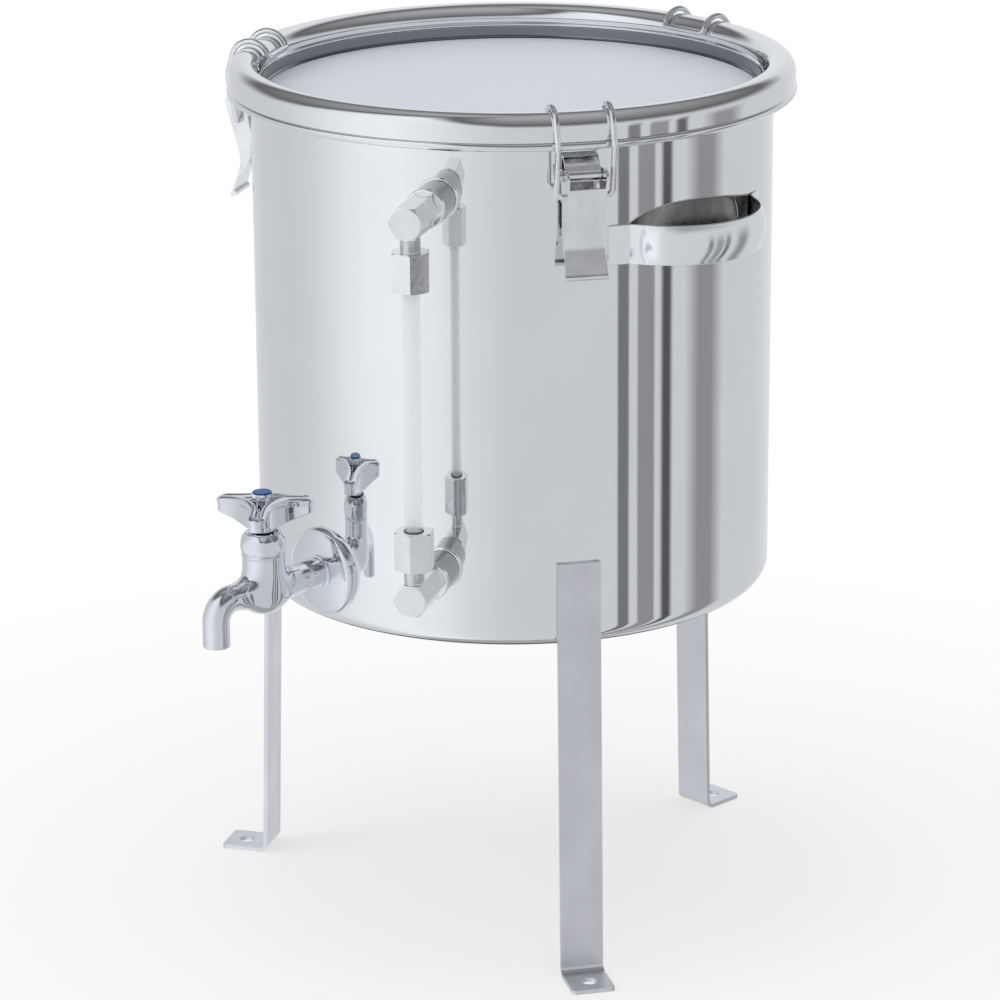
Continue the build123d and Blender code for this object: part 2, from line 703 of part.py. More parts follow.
# Packings on both sides of the wall and the back nut inside the tank
outer_ring = rod(OUTER_PACKING_R, WALL_R - OUTER_PACKING_R, OUTER_PACKING_U)
outer_ring -= rod(INLET_R, WALL_R - OUTER_PACKING_R, OUTER_PACKING_U)
tap_outer_packing = outward(outer_ring, INLET_Z) - outside
inner_ring = rod(INNER_PACKING_R, INNER_PACKING_U, WALL_R) - rod(INLET_R, INNER_PACKING_U, WALL_R)
tap_inner_packing = outward(inner_ring, INLET_Z) & inside
back_nut = turned_hex(BACK_NUT_FLATS, BACK_NUT_U, INNER_PACKING_U, BACK_NUT_FLATS / 2)
tap_back_nut = outward(back_nut - rod(INLET_R, BACK_NUT_U, INNER_PACKING_U), INLET_Z)

# Level gauge bosses and collars, on the wall
boss = rod(BOSS_R, WALL_R - BOSS_R, BOSS_END_U)
boss -= rod(BOSS_BORE_R, WALL_R - BOSS_R, BOSS_END_U)
collar = rod(GAUGE_COLLAR_R, BOSS_END_U, GAUGE_COLLAR_END_U)
collar -= rod(BOSS_BORE_R, BOSS_END_U, GAUGE_COLLAR_END_U)

# Level gauge elbow: hexagonal bar with a threaded spigot and a neck along the tube
elbow = turned_hex(ELBOW_FLATS, GAUGE_COLLAR_END_U, ELBOW_END_U, ELBOW_FACE_R)
elbow += rod(BOSS_BORE_R, ELBOW_SPIGOT_U, GAUGE_COLLAR_END_U)
elbow -= rod(ELBOW_BORE_R, ELBOW_SPIGOT_U, TUBE_U)
neck = rod(GAUGE_NECK_R, 0, GAUGE_NECK_END)
neck_bore = rod(ELBOW_BORE_R, 0, GAUGE_NECK_END)
tube_axis = Pos(0, -TUBE_U, 0)
elbow = outward(elbow, 0) + tube_axis * (neck - outward(rod(ELBOW_BORE_R, -TUBE_R, TUBE_R), 0))
elbow -= tube_axis * neck_bore


def gauge_nut(turn):
    """Hexagonal nut, screwed on the neck of an elbow and holding a seal."""
    nut = turned_hex(NUT_FLATS, NUT_START, NUT_END, NUT_FACE_R, turn)
    nut -= rod(GAUGE_NECK_R, NUT_START, NUT_THREAD_END)
    nut -= rod(SEAL_R, NUT_THREAD_END, SEAL_END)
    nut -= rod(TUBE_R + TUBE_GAP, SEAL_END, NUT_END)
    return tube_axis * nut


seal = tube_axis * (rod(SEAL_R, NUT_SEAT, SEAL_END) - rod(TUBE_R, NUT_SEAT, SEAL_END))
upside_down = Rot(0, 180, 0)


def low_end(shape):
    """Put a gauge piece at the lower end of the tube."""
    return around(Pos(0, 0, GAUGE_LOW_Z) * shape, GAUGE_ANGLE)


def high_end(shape):
    """Put a gauge piece upside down at the upper end of the tube."""
    return around(Pos(0, 0, GAUGE_HIGH_Z) * upside_down * shape, GAUGE_ANGLE)


tube = rod(TUBE_R, TUBE_LOW_Z, TUBE_HIGH_Z) - rod(TUBE_BORE_R, TUBE_LOW_Z, TUBE_HIGH_Z)
gauge_tube = around(tube_axis * tube, GAUGE_ANGLE)

parts = {
    "tank_body": tank_body,
    "lid": lid,
    "lid_gasket": lid_gasket,
    "tap_body": tap_body,
    "tap_bonnet": tap_bonnet,
    "tap_packing": tap_packing,
    "tap_spindle": tap_spindle,
    "tap_jumper": tap_jumper,
    "tap_jumper_washer": tap_jumper_washer,
    "tap_handle": tap_handle,
    "tap_handle_screw": tap_handle_screw,
    "tap_index_disc": tap_index_disc,
    "tap_escutcheon": tap_escutcheon,
    "tap_outer_packing": tap_outer_packing,
    "tap_inner_packing": tap_inner_packing,
    "tap_back_nut": tap_back_nut,
    "gauge_boss_low": low_end(outward(boss, 0)) - outside,
    "gauge_boss_high": high_end(outward(boss, 0)) - outside,
    "gauge_collar_low": low_end(outward(collar, 0)),
    "gauge_collar_high": high_end(outward(collar, 0)),
    "gauge_elbow_low": low_end(elbow),
    "gauge_elbow_high": high_end(elbow),
    "gauge_nut_low": low_end(gauge_nut(LOWER_NUT_TURN)),
    "gauge_nut_high": high_end(gauge_nut(UPPER_NUT_TURN)),
    "gauge_seal_low": low_end(seal),
    "gauge_seal_high": high_end(seal),
    "gauge_tube": gauge_tube,
}
for number, shape in enumerate(legs, 1):
    parts[f"leg_{number}"] = shape
for number, shape in enumerate(carry_handles, 1):
    parts[f"carry_handle_{number}"] = shape
for number in range(len(CLIP_ANGLES)):
    parts[f"clip_base_{number + 1}"] = clip_bases[number]
    parts[f"clip_pin_{number + 1}"] = clip_pins[number]
    parts[f"clip_lever_{number + 1}"] = clip_levers[number]
    parts[f"clip_bail_{number + 1}"] = clip_bails[number]
for name, shape in parts.items():
    export_step(shape, f"parts/{name}.step")
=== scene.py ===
import math

import bmesh
import bpy
from mathutils import Matrix, Vector


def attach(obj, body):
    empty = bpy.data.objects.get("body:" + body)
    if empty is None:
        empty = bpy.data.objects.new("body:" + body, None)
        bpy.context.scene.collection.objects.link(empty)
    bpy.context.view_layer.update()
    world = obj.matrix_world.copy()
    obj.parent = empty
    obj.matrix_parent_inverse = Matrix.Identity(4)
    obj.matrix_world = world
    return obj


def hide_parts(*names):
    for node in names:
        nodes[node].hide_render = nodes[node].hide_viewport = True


bpy.ops.wm.read_factory_settings(use_empty=True)
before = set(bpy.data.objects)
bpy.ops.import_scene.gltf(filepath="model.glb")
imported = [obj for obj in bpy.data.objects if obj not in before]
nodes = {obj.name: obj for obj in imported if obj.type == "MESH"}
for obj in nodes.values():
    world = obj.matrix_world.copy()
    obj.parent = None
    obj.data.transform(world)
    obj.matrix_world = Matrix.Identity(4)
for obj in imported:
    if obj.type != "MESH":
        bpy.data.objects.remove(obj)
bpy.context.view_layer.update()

# Camera: a long lens a little above the lid, towards the corner between the tap and the first
# handle. It is held level but for a third of a degree.
CAMERA_PLACE = Vector((2.0867, -2.0045, 1.2110))
CAMERA_AIM = Vector((-0.6892, 0.6575, -0.3044))
CAMERA_ROLL = math.radians(-0.347)
CAMERA_LENS = 153.14
CAMERA_SENSOR = 36
CAMERA_REACH = 50

aim = CAMERA_AIM.normalized()
level = aim.cross(Vector((0, 0, 1))).normalized()
upright = level.cross(aim)
right = level * math.cos(CAMERA_ROLL) + upright * math.sin(CAMERA_ROLL)
upward = right.cross(aim)
turn = Matrix((right, upward, -aim)).transposed().to_4x4()
camera = bpy.data.objects.new("camera", bpy.data.cameras.new("camera"))
camera.matrix_world = Matrix.Translation(CAMERA_PLACE) @ turn
camera.data.lens = CAMERA_LENS
camera.data.sensor_width = CAMERA_SENSOR
camera.data.clip_end = CAMERA_REACH
bpy.context.collection.objects.link(camera)
scene = bpy.context.scene
scene.camera = camera
scene.view_settings.view_transform = "Standard"

# Light tent: white boards stand round the tank, two broad soft boxes among them, with a few dark
# boards on the first handle's side, and the tent is open above. Only polished metal shows it: the
# camera sees plain white, and paint gets even light from the room.
TENT_R = 1.3
TENT_MID = 0.4
TENT_COLUMNS = 96
TENT_ROWS = 48
BOARD_TONE = 0.68
BOARD_TOP = 24
SOFT_BOXES = (
    {"bearing": -5, "half": 55, "tone": 1.0, "top": 66},
    {"bearing": -140, "half": 50, "tone": 0.85, "top": 48},
)
BOX_STEP = 15
DARK_FROM = 85
DARK_TO = 146
DARK_BOARDS = (
    {"from": 90, "to": 94, "tone": 0.2, "edge": 1},
    {"from": 99, "to": 106, "tone": 0.3, "edge": 1},
    {"from": 111, "to": 114, "tone": 0.1, "edge": 2},
    {"from": 130, "to": 138, "tone": 0.3, "edge": 8},
)
DARK_LOW = 0.24
DARK_HIGH = 0.80
TOP_EDGE = -0.1, 0.12
OPEN_RISE = 0.08, 0.55
OPEN_TONES = 0.13, 0.42
TENT_TINT = (0.95, 0.97, 1.0)
ROOM_LIGHT = 0.85
WHITE = (1, 1, 1, 1)


def add_node(tree, kind, **settings):
    """New node with its settings; in_3 sets input 3, or links an output to it."""
    node = tree.nodes.new(kind)
    for key, value in settings.items():
        if not key.startswith("in_"):
            setattr(node, key, value)
        elif isinstance(value, bpy.types.NodeSocket):
            tree.links.new(value, node.inputs[int(key[3:])])
        else:
            node.inputs[int(key[3:])].default_value = value
    return node


def reckon(tree, operation, *values):
    """Output of one sum on numbers and other nodes' outputs."""
    sides = {f"in_{place}": value for place, value in enumerate(values)}
    return add_node(tree, "ShaderNodeMath", operation=operation, **sides).outputs[0]


def span(tree, value, start, end, low=0.0, high=1.0, curve="LINEAR"):
    """Output that runs from low to high while a value runs from start to end."""
    return add_node(tree, "ShaderNodeMapRange", interpolation_type=curve,
                    in_0=value, in_1=start, in_2=end, in_3=low, in_4=high).outputs[0]


def mixed(tree, share, first, second, blend="MIX"):
    """Colour that goes from a first one to a second one by a share."""
    return add_node(tree, "ShaderNodeMix", data_type="RGBA", blend_type=blend,
                    in_0=share, in_6=first, in_7=second).outputs[2]


def bearing_ramp(tree, bearing, stops, low=-180, high=180, scale=1.0):
    """Grey tones that follow a few bearings in degrees."""
    ramp = add_node(tree, "ShaderNodeValToRGB",
                    in_0=span(tree, bearing, math.radians(low), math.radians(high)))
    points = ramp.color_ramp.elements
    while len(points) < len(stops):
        points.new(0.5)
    for point, (angle, tone) in zip(points, stops):
        point.position = (angle - low) / (high - low)
        point.color = (tone * scale, tone * scale, tone * scale, 1)
    return ramp.outputs[0]


def white_boards(base, raised):
    """Tone or height of the white boards all round, raised where a soft box stands."""
    stops = []
    for bearing in range(-180, 181, BOX_STEP):
        level = base
        for box in SOFT_BOXES:
            away = abs((bearing - box["bearing"] + 180) % 360 - 180)
            share = (1 + math.cos(math.pi * min(1, away / box["half"]))) / 2
            level += (box[raised] - base) * share
        stops.append((bearing, level))
    return stops


def dark_strip():
    """Tones along the strip of dark boards, with white boards seen in the gaps."""
    stops = [(DARK_FROM, BOARD_TONE)]
    for board in DARK_BOARDS:
        stops += [(board["from"] - board["edge"], BOARD_TONE), (board["from"], board["tone"])]
        stops += [(board["to"], board["tone"]), (board["to"] + board["edge"], BOARD_TONE)]
    return stops + [(DARK_TO, BOARD_TONE)]


def bare_material(name):
    """New material with an empty tree."""
    made = bpy.data.materials.new(name)
    made.use_nodes = True
    made.node_tree.nodes.clear()
    return made, made.node_tree


def mirrored_only(board, glowing_material):
    """Show a board of the stage to polished metal alone, without making it a lamp."""
    board.visible_camera = False
    board.visible_diffuse = False
    board.visible_transmission = False
    board.visible_shadow = False
    glowing_material.cycles.emission_sampling = "NONE"
    board.data.materials.append(glowing_material)


tent_mesh = bpy.data.meshes.new("tent")
shape = bmesh.new()
bmesh.ops.create_uvsphere(shape, u_segments=TENT_COLUMNS, v_segments=TENT_ROWS, radius=TENT_R)
shape.to_mesh(tent_mesh)
shape.free()
tent_mesh.transform(Matrix.Translation((0, 0, TENT_MID)))
tent = bpy.data.objects.new("tent", tent_mesh)
bpy.context.collection.objects.link(tent)
tent_cloth, tree = bare_material("tent_cloth")
place = add_node(tree, "ShaderNodeTexCoord")
split = add_node(tree, "ShaderNodeSeparateXYZ", in_0=place.outputs["Object"])
to_front = reckon(tree, "MULTIPLY", split.outputs["Y"], -1.0)
bearing = reckon(tree, "ARCTAN2", split.outputs["X"], to_front)
soft = bearing_ramp(tree, bearing, white_boards(BOARD_TONE, "tone"))
dark = bearing_ramp(tree, bearing, dark_strip(), DARK_FROM, DARK_TO)
past = reckon(tree, "GREATER_THAN", bearing, math.radians(DARK_FROM))
before = reckon(tree, "LESS_THAN", bearing, math.radians(DARK_TO))
within = reckon(tree, "MULTIPLY", past, before)
low = span(tree, split.outputs["Z"], DARK_HIGH, DARK_LOW, curve="SMOOTHSTEP")
boards = mixed(tree, reckon(tree, "MULTIPLY", within, low), soft, dark)
rise = span(tree, split.outputs["Z"], TENT_MID, TENT_MID + TENT_R)
above = reckon(tree, "MULTIPLY", reckon(tree, "ARCSINE", rise), 2 / math.pi)
top = bearing_ramp(tree, bearing, white_boards(BOARD_TOP, "top"), scale=1 / 90)
beyond = reckon(tree, "SUBTRACT", above, top)
gap = span(tree, beyond, *TOP_EDGE, curve="SMOOTHSTEP")
opened = mixed(tree, gap, boards, span(tree, beyond, *OPEN_RISE, *OPEN_TONES))
tinted = mixed(tree, 1.0, opened, (*TENT_TINT, 1), "MULTIPLY")
glow = add_node(tree, "ShaderNodeEmission", in_0=tinted)
add_node(tree, "ShaderNodeOutputMaterial", in_0=glow.outputs[0])
mirrored_only(tent, tent_cloth)

world = bpy.data.worlds.new("room")
scene.world = world
world.use_nodes = True
room = world.node_tree
room.nodes.clear()
even_light = add_node(room, "ShaderNodeBackground", in_0=WHITE, in_1=ROOM_LIGHT)
backdrop = add_node(room, "ShaderNodeBackground", in_0=WHITE)
ray = add_node(room, "ShaderNodeLightPath")
seen = reckon(room, "MAXIMUM", ray.outputs["Is Camera Ray"], ray.outputs["Is Transmission Ray"])
choose = add_node(room, "ShaderNodeMixShader",
                  in_0=seen, in_1=even_light.outputs[0], in_2=backdrop.outputs[0])
add_node(room, "ShaderNodeOutputWorld", in_0=choose.outputs[0])

# Floor: a round board of pale paint under the legs, wide enough for the tank's soft shadow.
# It glows white to the camera towards its edge, so that the board melts into the room.
BOARD_STEPS = 128
FLOOR_R = 1.3
FLOOR_PAINT = (0.9, 0.9, 0.9)
GLOW_REACH = 0.2, 0.75
GLOW_SHARES = 0.60, 1.0


def round_board(name, radius, height):
    """Flat round of the stage."""
    ring = [2 * math.pi * step / BOARD_STEPS for step in range(BOARD_STEPS)]
    rim = [(radius * math.cos(a), radius * math.sin(a), height) for a in ring]
    mesh = bpy.data.meshes.new(name)
    mesh.from_pydata(rim, [], [range(BOARD_STEPS)])
    board = bpy.data.objects.new(name, mesh)
    bpy.context.collection.objects.link(board)
    return board


def from_axis(tree, place):
    """Distance from the tank's axis."""
    flat = add_node(tree, "ShaderNodeVectorMath", operation="MULTIPLY", in_0=place, in_1=(1, 1, 0))
    reach = add_node(tree, "ShaderNodeVectorMath", operation="LENGTH", in_0=flat.outputs[0])
    return reach.outputs["Value"]


floor = round_board("floor", FLOOR_R, 0)
floor.visible_glossy = False
pale_floor, tree = bare_material("pale_floor")
place = add_node(tree, "ShaderNodeTexCoord")
paint = add_node(tree, "ShaderNodeBsdfDiffuse", in_0=(*FLOOR_PAINT, 1))
glow = add_node(tree, "ShaderNodeEmission", in_0=WHITE)
fade = span(tree, from_axis(tree, place.outputs["Object"]), *GLOW_REACH, *GLOW_SHARES)
ray = add_node(tree, "ShaderNodeLightPath")
share = reckon(tree, "MULTIPLY", ray.outputs["Is Camera Ray"], fade)
both = add_node(tree, "ShaderNodeMixShader",
                in_0=share, in_1=paint.outputs[0], in_2=glow.outputs[0])
add_node(tree, "ShaderNodeOutputMaterial", in_0=both.outputs[0])
floor.data.materials.append(pale_floor)

# Painted floor shade: a dim grey glowing round far below the tank, fading out at its edge, which
# stands in for the shaded floor under the tank. Only polished metal shows it, as a painted
# reflection of shade in the curves that turn under the tank and the tap.
SHADE_DISC_R = 0.50
SHADE_DISC_FADE_R = 0.30
SHADE_DISC_Z = -0.75
SHADE_DISC_TONE = 0.42

floor_shade_disc = round_board("floor_shade_disc", SHADE_DISC_R, SHADE_DISC_Z)
floor_shade_glow, tree = bare_material("floor_shade_glow")
place = add_node(tree, "ShaderNodeTexCoord")
# Painted shade: a dim grey glow, mirrored where the shaded floor under the tank would be.
glow = add_node(tree, "ShaderNodeEmission", in_0=WHITE, in_1=SHADE_DISC_TONE)
clear_air = add_node(tree, "ShaderNodeBsdfTransparent")
away = from_axis(tree, place.outputs["Object"])
fade = span(tree, away, SHADE_DISC_FADE_R, SHADE_DISC_R, curve="SMOOTHSTEP")
both = add_node(tree, "ShaderNodeMixShader",
                in_0=fade, in_1=glow.outputs[0], in_2=clear_air.outputs[0])
add_node(tree, "ShaderNodeOutputMaterial", in_0=both.outputs[0])
mirrored_only(floor_shade_disc, floor_shade_glow)

# Key lamp: one square soft box, high on the tap's side and aimed at the middle of the tank.
# It gives the shadow under the tank a direction, and polished metal doesn't show it.
LAMP_SIDE = 1.4
LAMP_POWER = 14
LAMP_PLACE = Vector((-1.2, -2.0, 2.2))
LAMP_TARGET = Vector((0, 0, 0.35))

lamp = bpy.data.lights.new("key", "AREA")
lamp.shape = "RECTANGLE"
lamp.size = LAMP_SIDE
lamp.size_y = LAMP_SIDE
lamp.energy = LAMP_POWER
key = bpy.data.objects.new("key", lamp)
key.location = LAMP_PLACE
key.rotation_euler = (LAMP_TARGET - key.location).to_track_quat("-Z", "Y").to_euler()
bpy.context.collection.objects.link(key)
key.visible_glossy = False

# Tank body: one shell of thin stainless sheet, spun with a round bottom corner, its rim turned out
# and rolled. It is polished to a mirror, with a faint waviness left by the rolls and very fine
# polishing lines. Its underside is painted near black, a painted shade for the shaded floor it
# would mirror.
MM = 0.001
SHEET_T = 1.0
STEEL_BRIGHT = (0.88, 0.885, 0.89)
STEEL_DULL = (0.85, 0.855, 0.862)
UNDERSIDE_SHADE_TONE = (0.04, 0.04, 0.042)
POLISH_ROUGHNESS = 0.025, 0.05
UNDERSIDE_ROUGHNESS = 0.35
UNDERSIDE_Z = 241.5
MASK_FADE = 0.8
GRAIN_REACH = 0.3, 0.7
TANK_SKIN = (
    (0, 238.0, 0), (181.0, 238.0, 11.5), (181.0, 590.2, 2.5), (196.3, 590.2, 1.88),
    (196.3, 586.42, 1.88), (191.0, 586.42, 0),
)
SPIN_STEPS = 384
BEND_LEAD = 0.12
BEND_FACET = 7
BEND_STEPS = 4


def bent_line(corners):
    """Points and left-hand sides along a line of (out, up, radius), its corners rounded."""
    line = []
    for place, (out, up, radius) in enumerate(corners):
        here = Vector((out, up))
        if radius == 0:
            start, end = corners[:2] if place == 0 else corners[place - 1:place + 1]
            toward = Vector(end[:2]) - Vector(start[:2])
            line.append((here, Vector((-toward.y, toward.x)).normalized()))
            continue
        come = (here - Vector(corners[place - 1][:2])).normalized()
        go = (Vector(corners[place + 1][:2]) - here).normalized()
        bend = math.atan2(come.x * go.y - come.y * go.x, come.dot(go))
        cut = radius * math.tan(abs(bend) / 2)
        side = Vector((-come.y, come.x)) * math.copysign(1, bend)
        centre = here - come * cut + side * radius
        line.append((here - come * (cut + BEND_LEAD), Vector((-come.y, come.x))))
        steps = max(BEND_STEPS, round(abs(math.degrees(bend)) / BEND_FACET))
        for step in range(steps + 1):
            turned = Matrix.Rotation(bend * step / steps, 2)
            line.append((centre - turned @ side * radius, turned @ Vector((-come.y, come.x))))
        line.append((here + go * (cut + BEND_LEAD), Vector((-go.y, go.x))))
    return line


def spun_sheet(name, corners):
    """Sheet metal spun about the tank's axis, from the section of one skin."""
    line = bent_line(corners)
    skin = [point for point, _ in line]
    back = [point + left * SHEET_T for point, left in reversed(line)]
    return spun(name, skin + back)


def spun(name, section, steps=SPIN_STEPS):
    """Mesh of a section (out, up) in millimetres, turned about an upright axis."""
    shape = bmesh.new()
    points = [shape.verts.new((out * MM, 0, up * MM)) for out, up in section]
    rim = [shape.edges.new(pair) for pair in zip(points, points[1:])]
    if section[0][0] > 0:
        rim.append(shape.edges.new((points[-1], points[0])))
    bmesh.ops.spin(shape, geom=points + rim, cent=(0, 0, 0), axis=(0, 0, 1), angle=2 * math.pi,
                   steps=steps, use_merge=True)
    bmesh.ops.remove_doubles(shape, verts=shape.verts, dist=1e-6)
    bmesh.ops.recalc_face_normals(shape, faces=shape.faces)
    mesh = bpy.data.meshes.new(name)
    shape.to_mesh(mesh)
    shape.free()
    smooth(mesh)
    return mesh


def smooth(mesh, angle=40):
    """Shade a mesh smooth, but crisp where two faces meet at more than an angle."""
    mesh.shade_smooth()
    mesh.set_sharp_from_angle(angle=math.radians(angle))


def set_piece(name, mesh, material, body, slot, *stands_for):
    """Put a made mesh on its body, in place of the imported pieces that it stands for."""
    if not mesh.materials:
        mesh.materials.append(material)
    piece = bpy.data.objects.new(name, mesh)
    bpy.context.collection.objects.link(piece)
    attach(piece, body)
    if stands_for:
        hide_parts(*stands_for)


def finish(name, metallic=1.0):
    """New material with its shader node and its Object coordinates."""
    made = bpy.data.materials.new(name)
    made.use_nodes = True
    shader = made.node_tree.nodes["Principled BSDF"]
    shader.inputs["Metallic"].default_value = metallic
    place = add_node(made.node_tree, "ShaderNodeTexCoord")
    return made, shader, place.outputs["Object"]


def grain(place, scale, detail, stretch=(1, 1, 1), roughness=0.5):
    """Noise over the piece, drawn out along an axis by a small factor there."""
    tree = place.id_data
    spread = add_node(tree, "ShaderNodeMapping")
    spread.inputs["Scale"].default_value = stretch
    tree.links.new(place, spread.inputs["Vector"])
    noise = add_node(tree, "ShaderNodeTexNoise")
    noise.inputs["Scale"].default_value = scale
    noise.inputs["Detail"].default_value = detail
    noise.inputs["Roughness"].default_value = roughness
    tree.links.new(spread.outputs[0], noise.inputs["Vector"])
    return noise.outputs["Fac"]


def between(share, socket, low, high):
    """Drive a shader socket from low to high by a noise share."""
    tree = share.id_data
    tree.links.new(span(tree, share, *GRAIN_REACH, low, high), socket)


def shade(share, socket, *tones):
    """Drive a colour socket from one tone to another by a noise share."""
    tree = share.id_data
    ramp = add_node(tree, "ShaderNodeValToRGB", in_0=share)
    for point, position, tone in zip(ramp.color_ramp.elements, GRAIN_REACH, tones):
        point.position = position
        point.color = (*tone, 1)
    tree.links.new(ramp.outputs[0], socket)


def emboss(share, shader, depth):
    """Raise the surface by depth metres where the noise share is high."""
    tree = share.id_data
    bump = add_node(tree, "ShaderNodeBump")
    bump.inputs["Strength"].default_value = 1.0
    bump.inputs["Distance"].default_value = depth
    tree.links.new(share, bump.inputs["Height"])
    tree.links.new(bump.outputs[0], shader.inputs["Normal"])


def dress(material, *names):
    """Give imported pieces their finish."""
    for name in names:
        for place in nodes[name].material_slots:
            place.material = material


polished_steel, shader, place = finish("polished_steel")
tree = polished_steel.node_tree
height = add_node(tree, "ShaderNodeSeparateXYZ", in_0=place).outputs["Z"]
under = span(tree, height, UNDERSIDE_Z * MM, (UNDERSIDE_Z - MASK_FADE) * MM)
# Painted shade: below the bottom corner the base colour turns near black and duller.
tone = add_node(tree, "ShaderNodeMix", data_type="RGBA", in_0=under, in_7=(*UNDERSIDE_SHADE_TONE, 1))
shade(grain(place, scale=14, detail=4), tone.inputs[6], STEEL_DULL, STEEL_BRIGHT)
tree.links.new(tone.outputs[2], shader.inputs["Base Color"])
rough = add_node(tree, "ShaderNodeMix", in_0=under, in_3=UNDERSIDE_ROUGHNESS)
between(grain(place, scale=60, detail=5, stretch=(1, 1, 12)), rough.inputs[2], *POLISH_ROUGHNESS)
tree.links.new(rough.outputs[0], shader.inputs["Roughness"])
emboss(grain(place, scale=5, detail=1), shader, depth=0.0001)
mesh = spun_sheet("tank_shell", TANK_SKIN)
set_piece("tank_shell", mesh, polished_steel, "tank", "polished_steel", "tank_body")

# Lid: a round of the same sheet, pressed with a hollow bead over the rim, a well inside the bead
# and a flat panel. The bead is polished. The well is painted dark grey, a painted shade in the
# hollow.
# The panel has a satin rolled grain and is an almost non-metal coat of even pale blue-grey, a
# painted reflection of the pale room.
LID_SKIN = (
    (196.3, 591.3, 0), (196.3, 609.8, 10.5), (174.7, 609.8, 10.5), (174.7, 597.4, 1.0),
    (172.9, 595.6, 1.3), (174.3, 594.2, 1.0), (173.7, 586.0, 2.5), (0, 586.0, 0),
)
PANEL_R = 171.0
PANEL_REFLECTION_TONE = (0.74, 0.785, 0.865)
PANEL_ROUGHNESS = 0.46, 0.54
PANEL_POLISH = 0.1
BEAD_ROUGHNESS = 0.03, 0.06
WELL_Z = 594.6
WELL_R = 180.0
WELL_SHADE_TONE = (0.24, 0.245, 0.26)

lid_steel, shader, place = finish("lid_steel")
tree = lid_steel.node_tree
away = from_axis(tree, place)
height = add_node(tree, "ShaderNodeSeparateXYZ", in_0=place).outputs["Z"]
panel = span(tree, away, (PANEL_R + MASK_FADE) * MM, PANEL_R * MM)
deep = span(tree, height, WELL_Z * MM, (WELL_Z - MASK_FADE) * MM)
well = reckon(tree, "MULTIPLY", deep, reckon(tree, "LESS_THAN", away, WELL_R * MM))
bead_tone = add_node(tree, "ShaderNodeValToRGB", in_0=grain(place, scale=14, detail=4))
bead_tone.color_ramp.elements[0].color = (*STEEL_DULL, 1)
bead_tone.color_ramp.elements[1].color = (*STEEL_BRIGHT, 1)
# Painted shade: the well inside the bead is darkened.
bead_and_well_shade = mixed(tree, well, bead_tone.outputs[0], (*WELL_SHADE_TONE, 1))
# Painted reflection: the panel takes an even pale blue-grey paint.
tree.links.new(mixed(tree, panel, bead_and_well_shade, (*PANEL_REFLECTION_TONE, 1)), shader.inputs["Base Color"])
rough = add_node(tree, "ShaderNodeMix", in_0=panel)
between(grain(place, scale=60, detail=5), rough.inputs[2], *BEAD_ROUGHNESS)
between(grain(place, scale=400, detail=4, stretch=(1, 0.1, 1)), rough.inputs[3], *PANEL_ROUGHNESS)
tree.links.new(rough.outputs[0], shader.inputs["Roughness"])
tree.links.new(span(tree, panel, 0.0, 1.0, 1.0, PANEL_POLISH), shader.inputs["Metallic"])
emboss(grain(place, scale=6, detail=1), shader, depth=0.00008)
mesh = spun_sheet("lid_pressing", LID_SKIN)
set_piece("lid_pressing", mesh, lid_steel, "tank", "polished_steel", "lid")

# Lid gasket: a flat ring of black rubber between the tank's rim and the lid's edge, with a rib up
# in the bead. Its outer edge is drawn in a little by the clamped lid.
GASKET_SECTION = (
    (183.8, 591.2), (194.6, 591.2), (194.9, 591.5), (194.9, 592.1), (194.6, 592.4), (190.0, 592.4),
    (190.0, 596.4), (189.4, 597.0), (187.1, 597.0), (186.5, 596.4), (186.5, 592.4), (183.8, 592.4),
)
RUBBER_TONES = (0.03, 0.03, 0.031), (0.07, 0.07, 0.072)
RUBBER_ROUGHNESS = 0.5, 0.7

seal_rubber, shader, place = finish("seal_rubber", 0.0)
shade(grain(place, scale=90, detail=5), shader.inputs["Base Color"], *RUBBER_TONES)
between(grain(place, scale=300, detail=3), shader.inputs["Roughness"], *RUBBER_ROUGHNESS)
emboss(grain(place, scale=900, detail=2), shader, depth=0.00002)
mesh = spun("lid_gasket_ring", GASKET_SECTION)
set_piece("lid_gasket_ring", mesh, seal_rubber, "tank", "seal_rubber", "lid_gasket")

# Legs: three flat bars of stainless steel, bent outward below the tank, with a drilled foot.
# They are welded to the wall, and keep the satin rolling skin of the bar, which runs along it.
LEG_TONES = (0.70, 0.705, 0.735), (0.77, 0.775, 0.805)
LEG_ROUGHNESS = 0.26, 0.40

leg_steel, shader, place = finish("leg_steel")
shade(grain(place, scale=30, detail=5), shader.inputs["Base Color"], *LEG_TONES)
rolled = grain(place, scale=160, detail=4, stretch=(1, 1, 0.06))
between(rolled, shader.inputs["Roughness"], *LEG_ROUGHNESS)
emboss(grain(place, scale=260, detail=3, stretch=(1, 1, 0.05)), shader, depth=0.00002)
dress(leg_steel, "leg_1", "leg_2", "leg_3")

# Carrying handles: a strap of steel sheet bowed round a former, its middle dished outward for the
# hand, with a pressed crease where the dish ends. Its two flat ends lie on the wall and are
# spot-welded to it. The inner side, which faces the wall, is rougher and painted dark brown-grey:
# painted shade and a painted reflection of the wall.
STRAP_T = 1.5
STRAP_H = 27.2
STRAP_MID_Z = 516.3
BOW_R = 60.2
BOW_CENTRE_U = 154.3
BOW_END = math.radians(60)
BOW_STEPS = 96
NECK = Vector((58.8, 172.9))
NECK_STEPS = 48
NECK_BEND_R = 1.2
NECK_BEND_STEPS = 8
PAD_END = Vector((72.2, 166.2))
PAD_SHARES = (0.35, 0.7, 1.0)
PAD_TURN = 90
DISH = ((0, 2.6), (38, 2.6), (52, 2.2), (64.6, 0.0), (90, 0.0))
DISH_ROUND = 4.0
CREASE_AT = 65.2
CREASE_HALF = 0.9
CREASE_DEEP = 0.7
FACE_HALF = 10
EDGE_STEPS = 6
STRAP_BEARINGS = (90, 270)
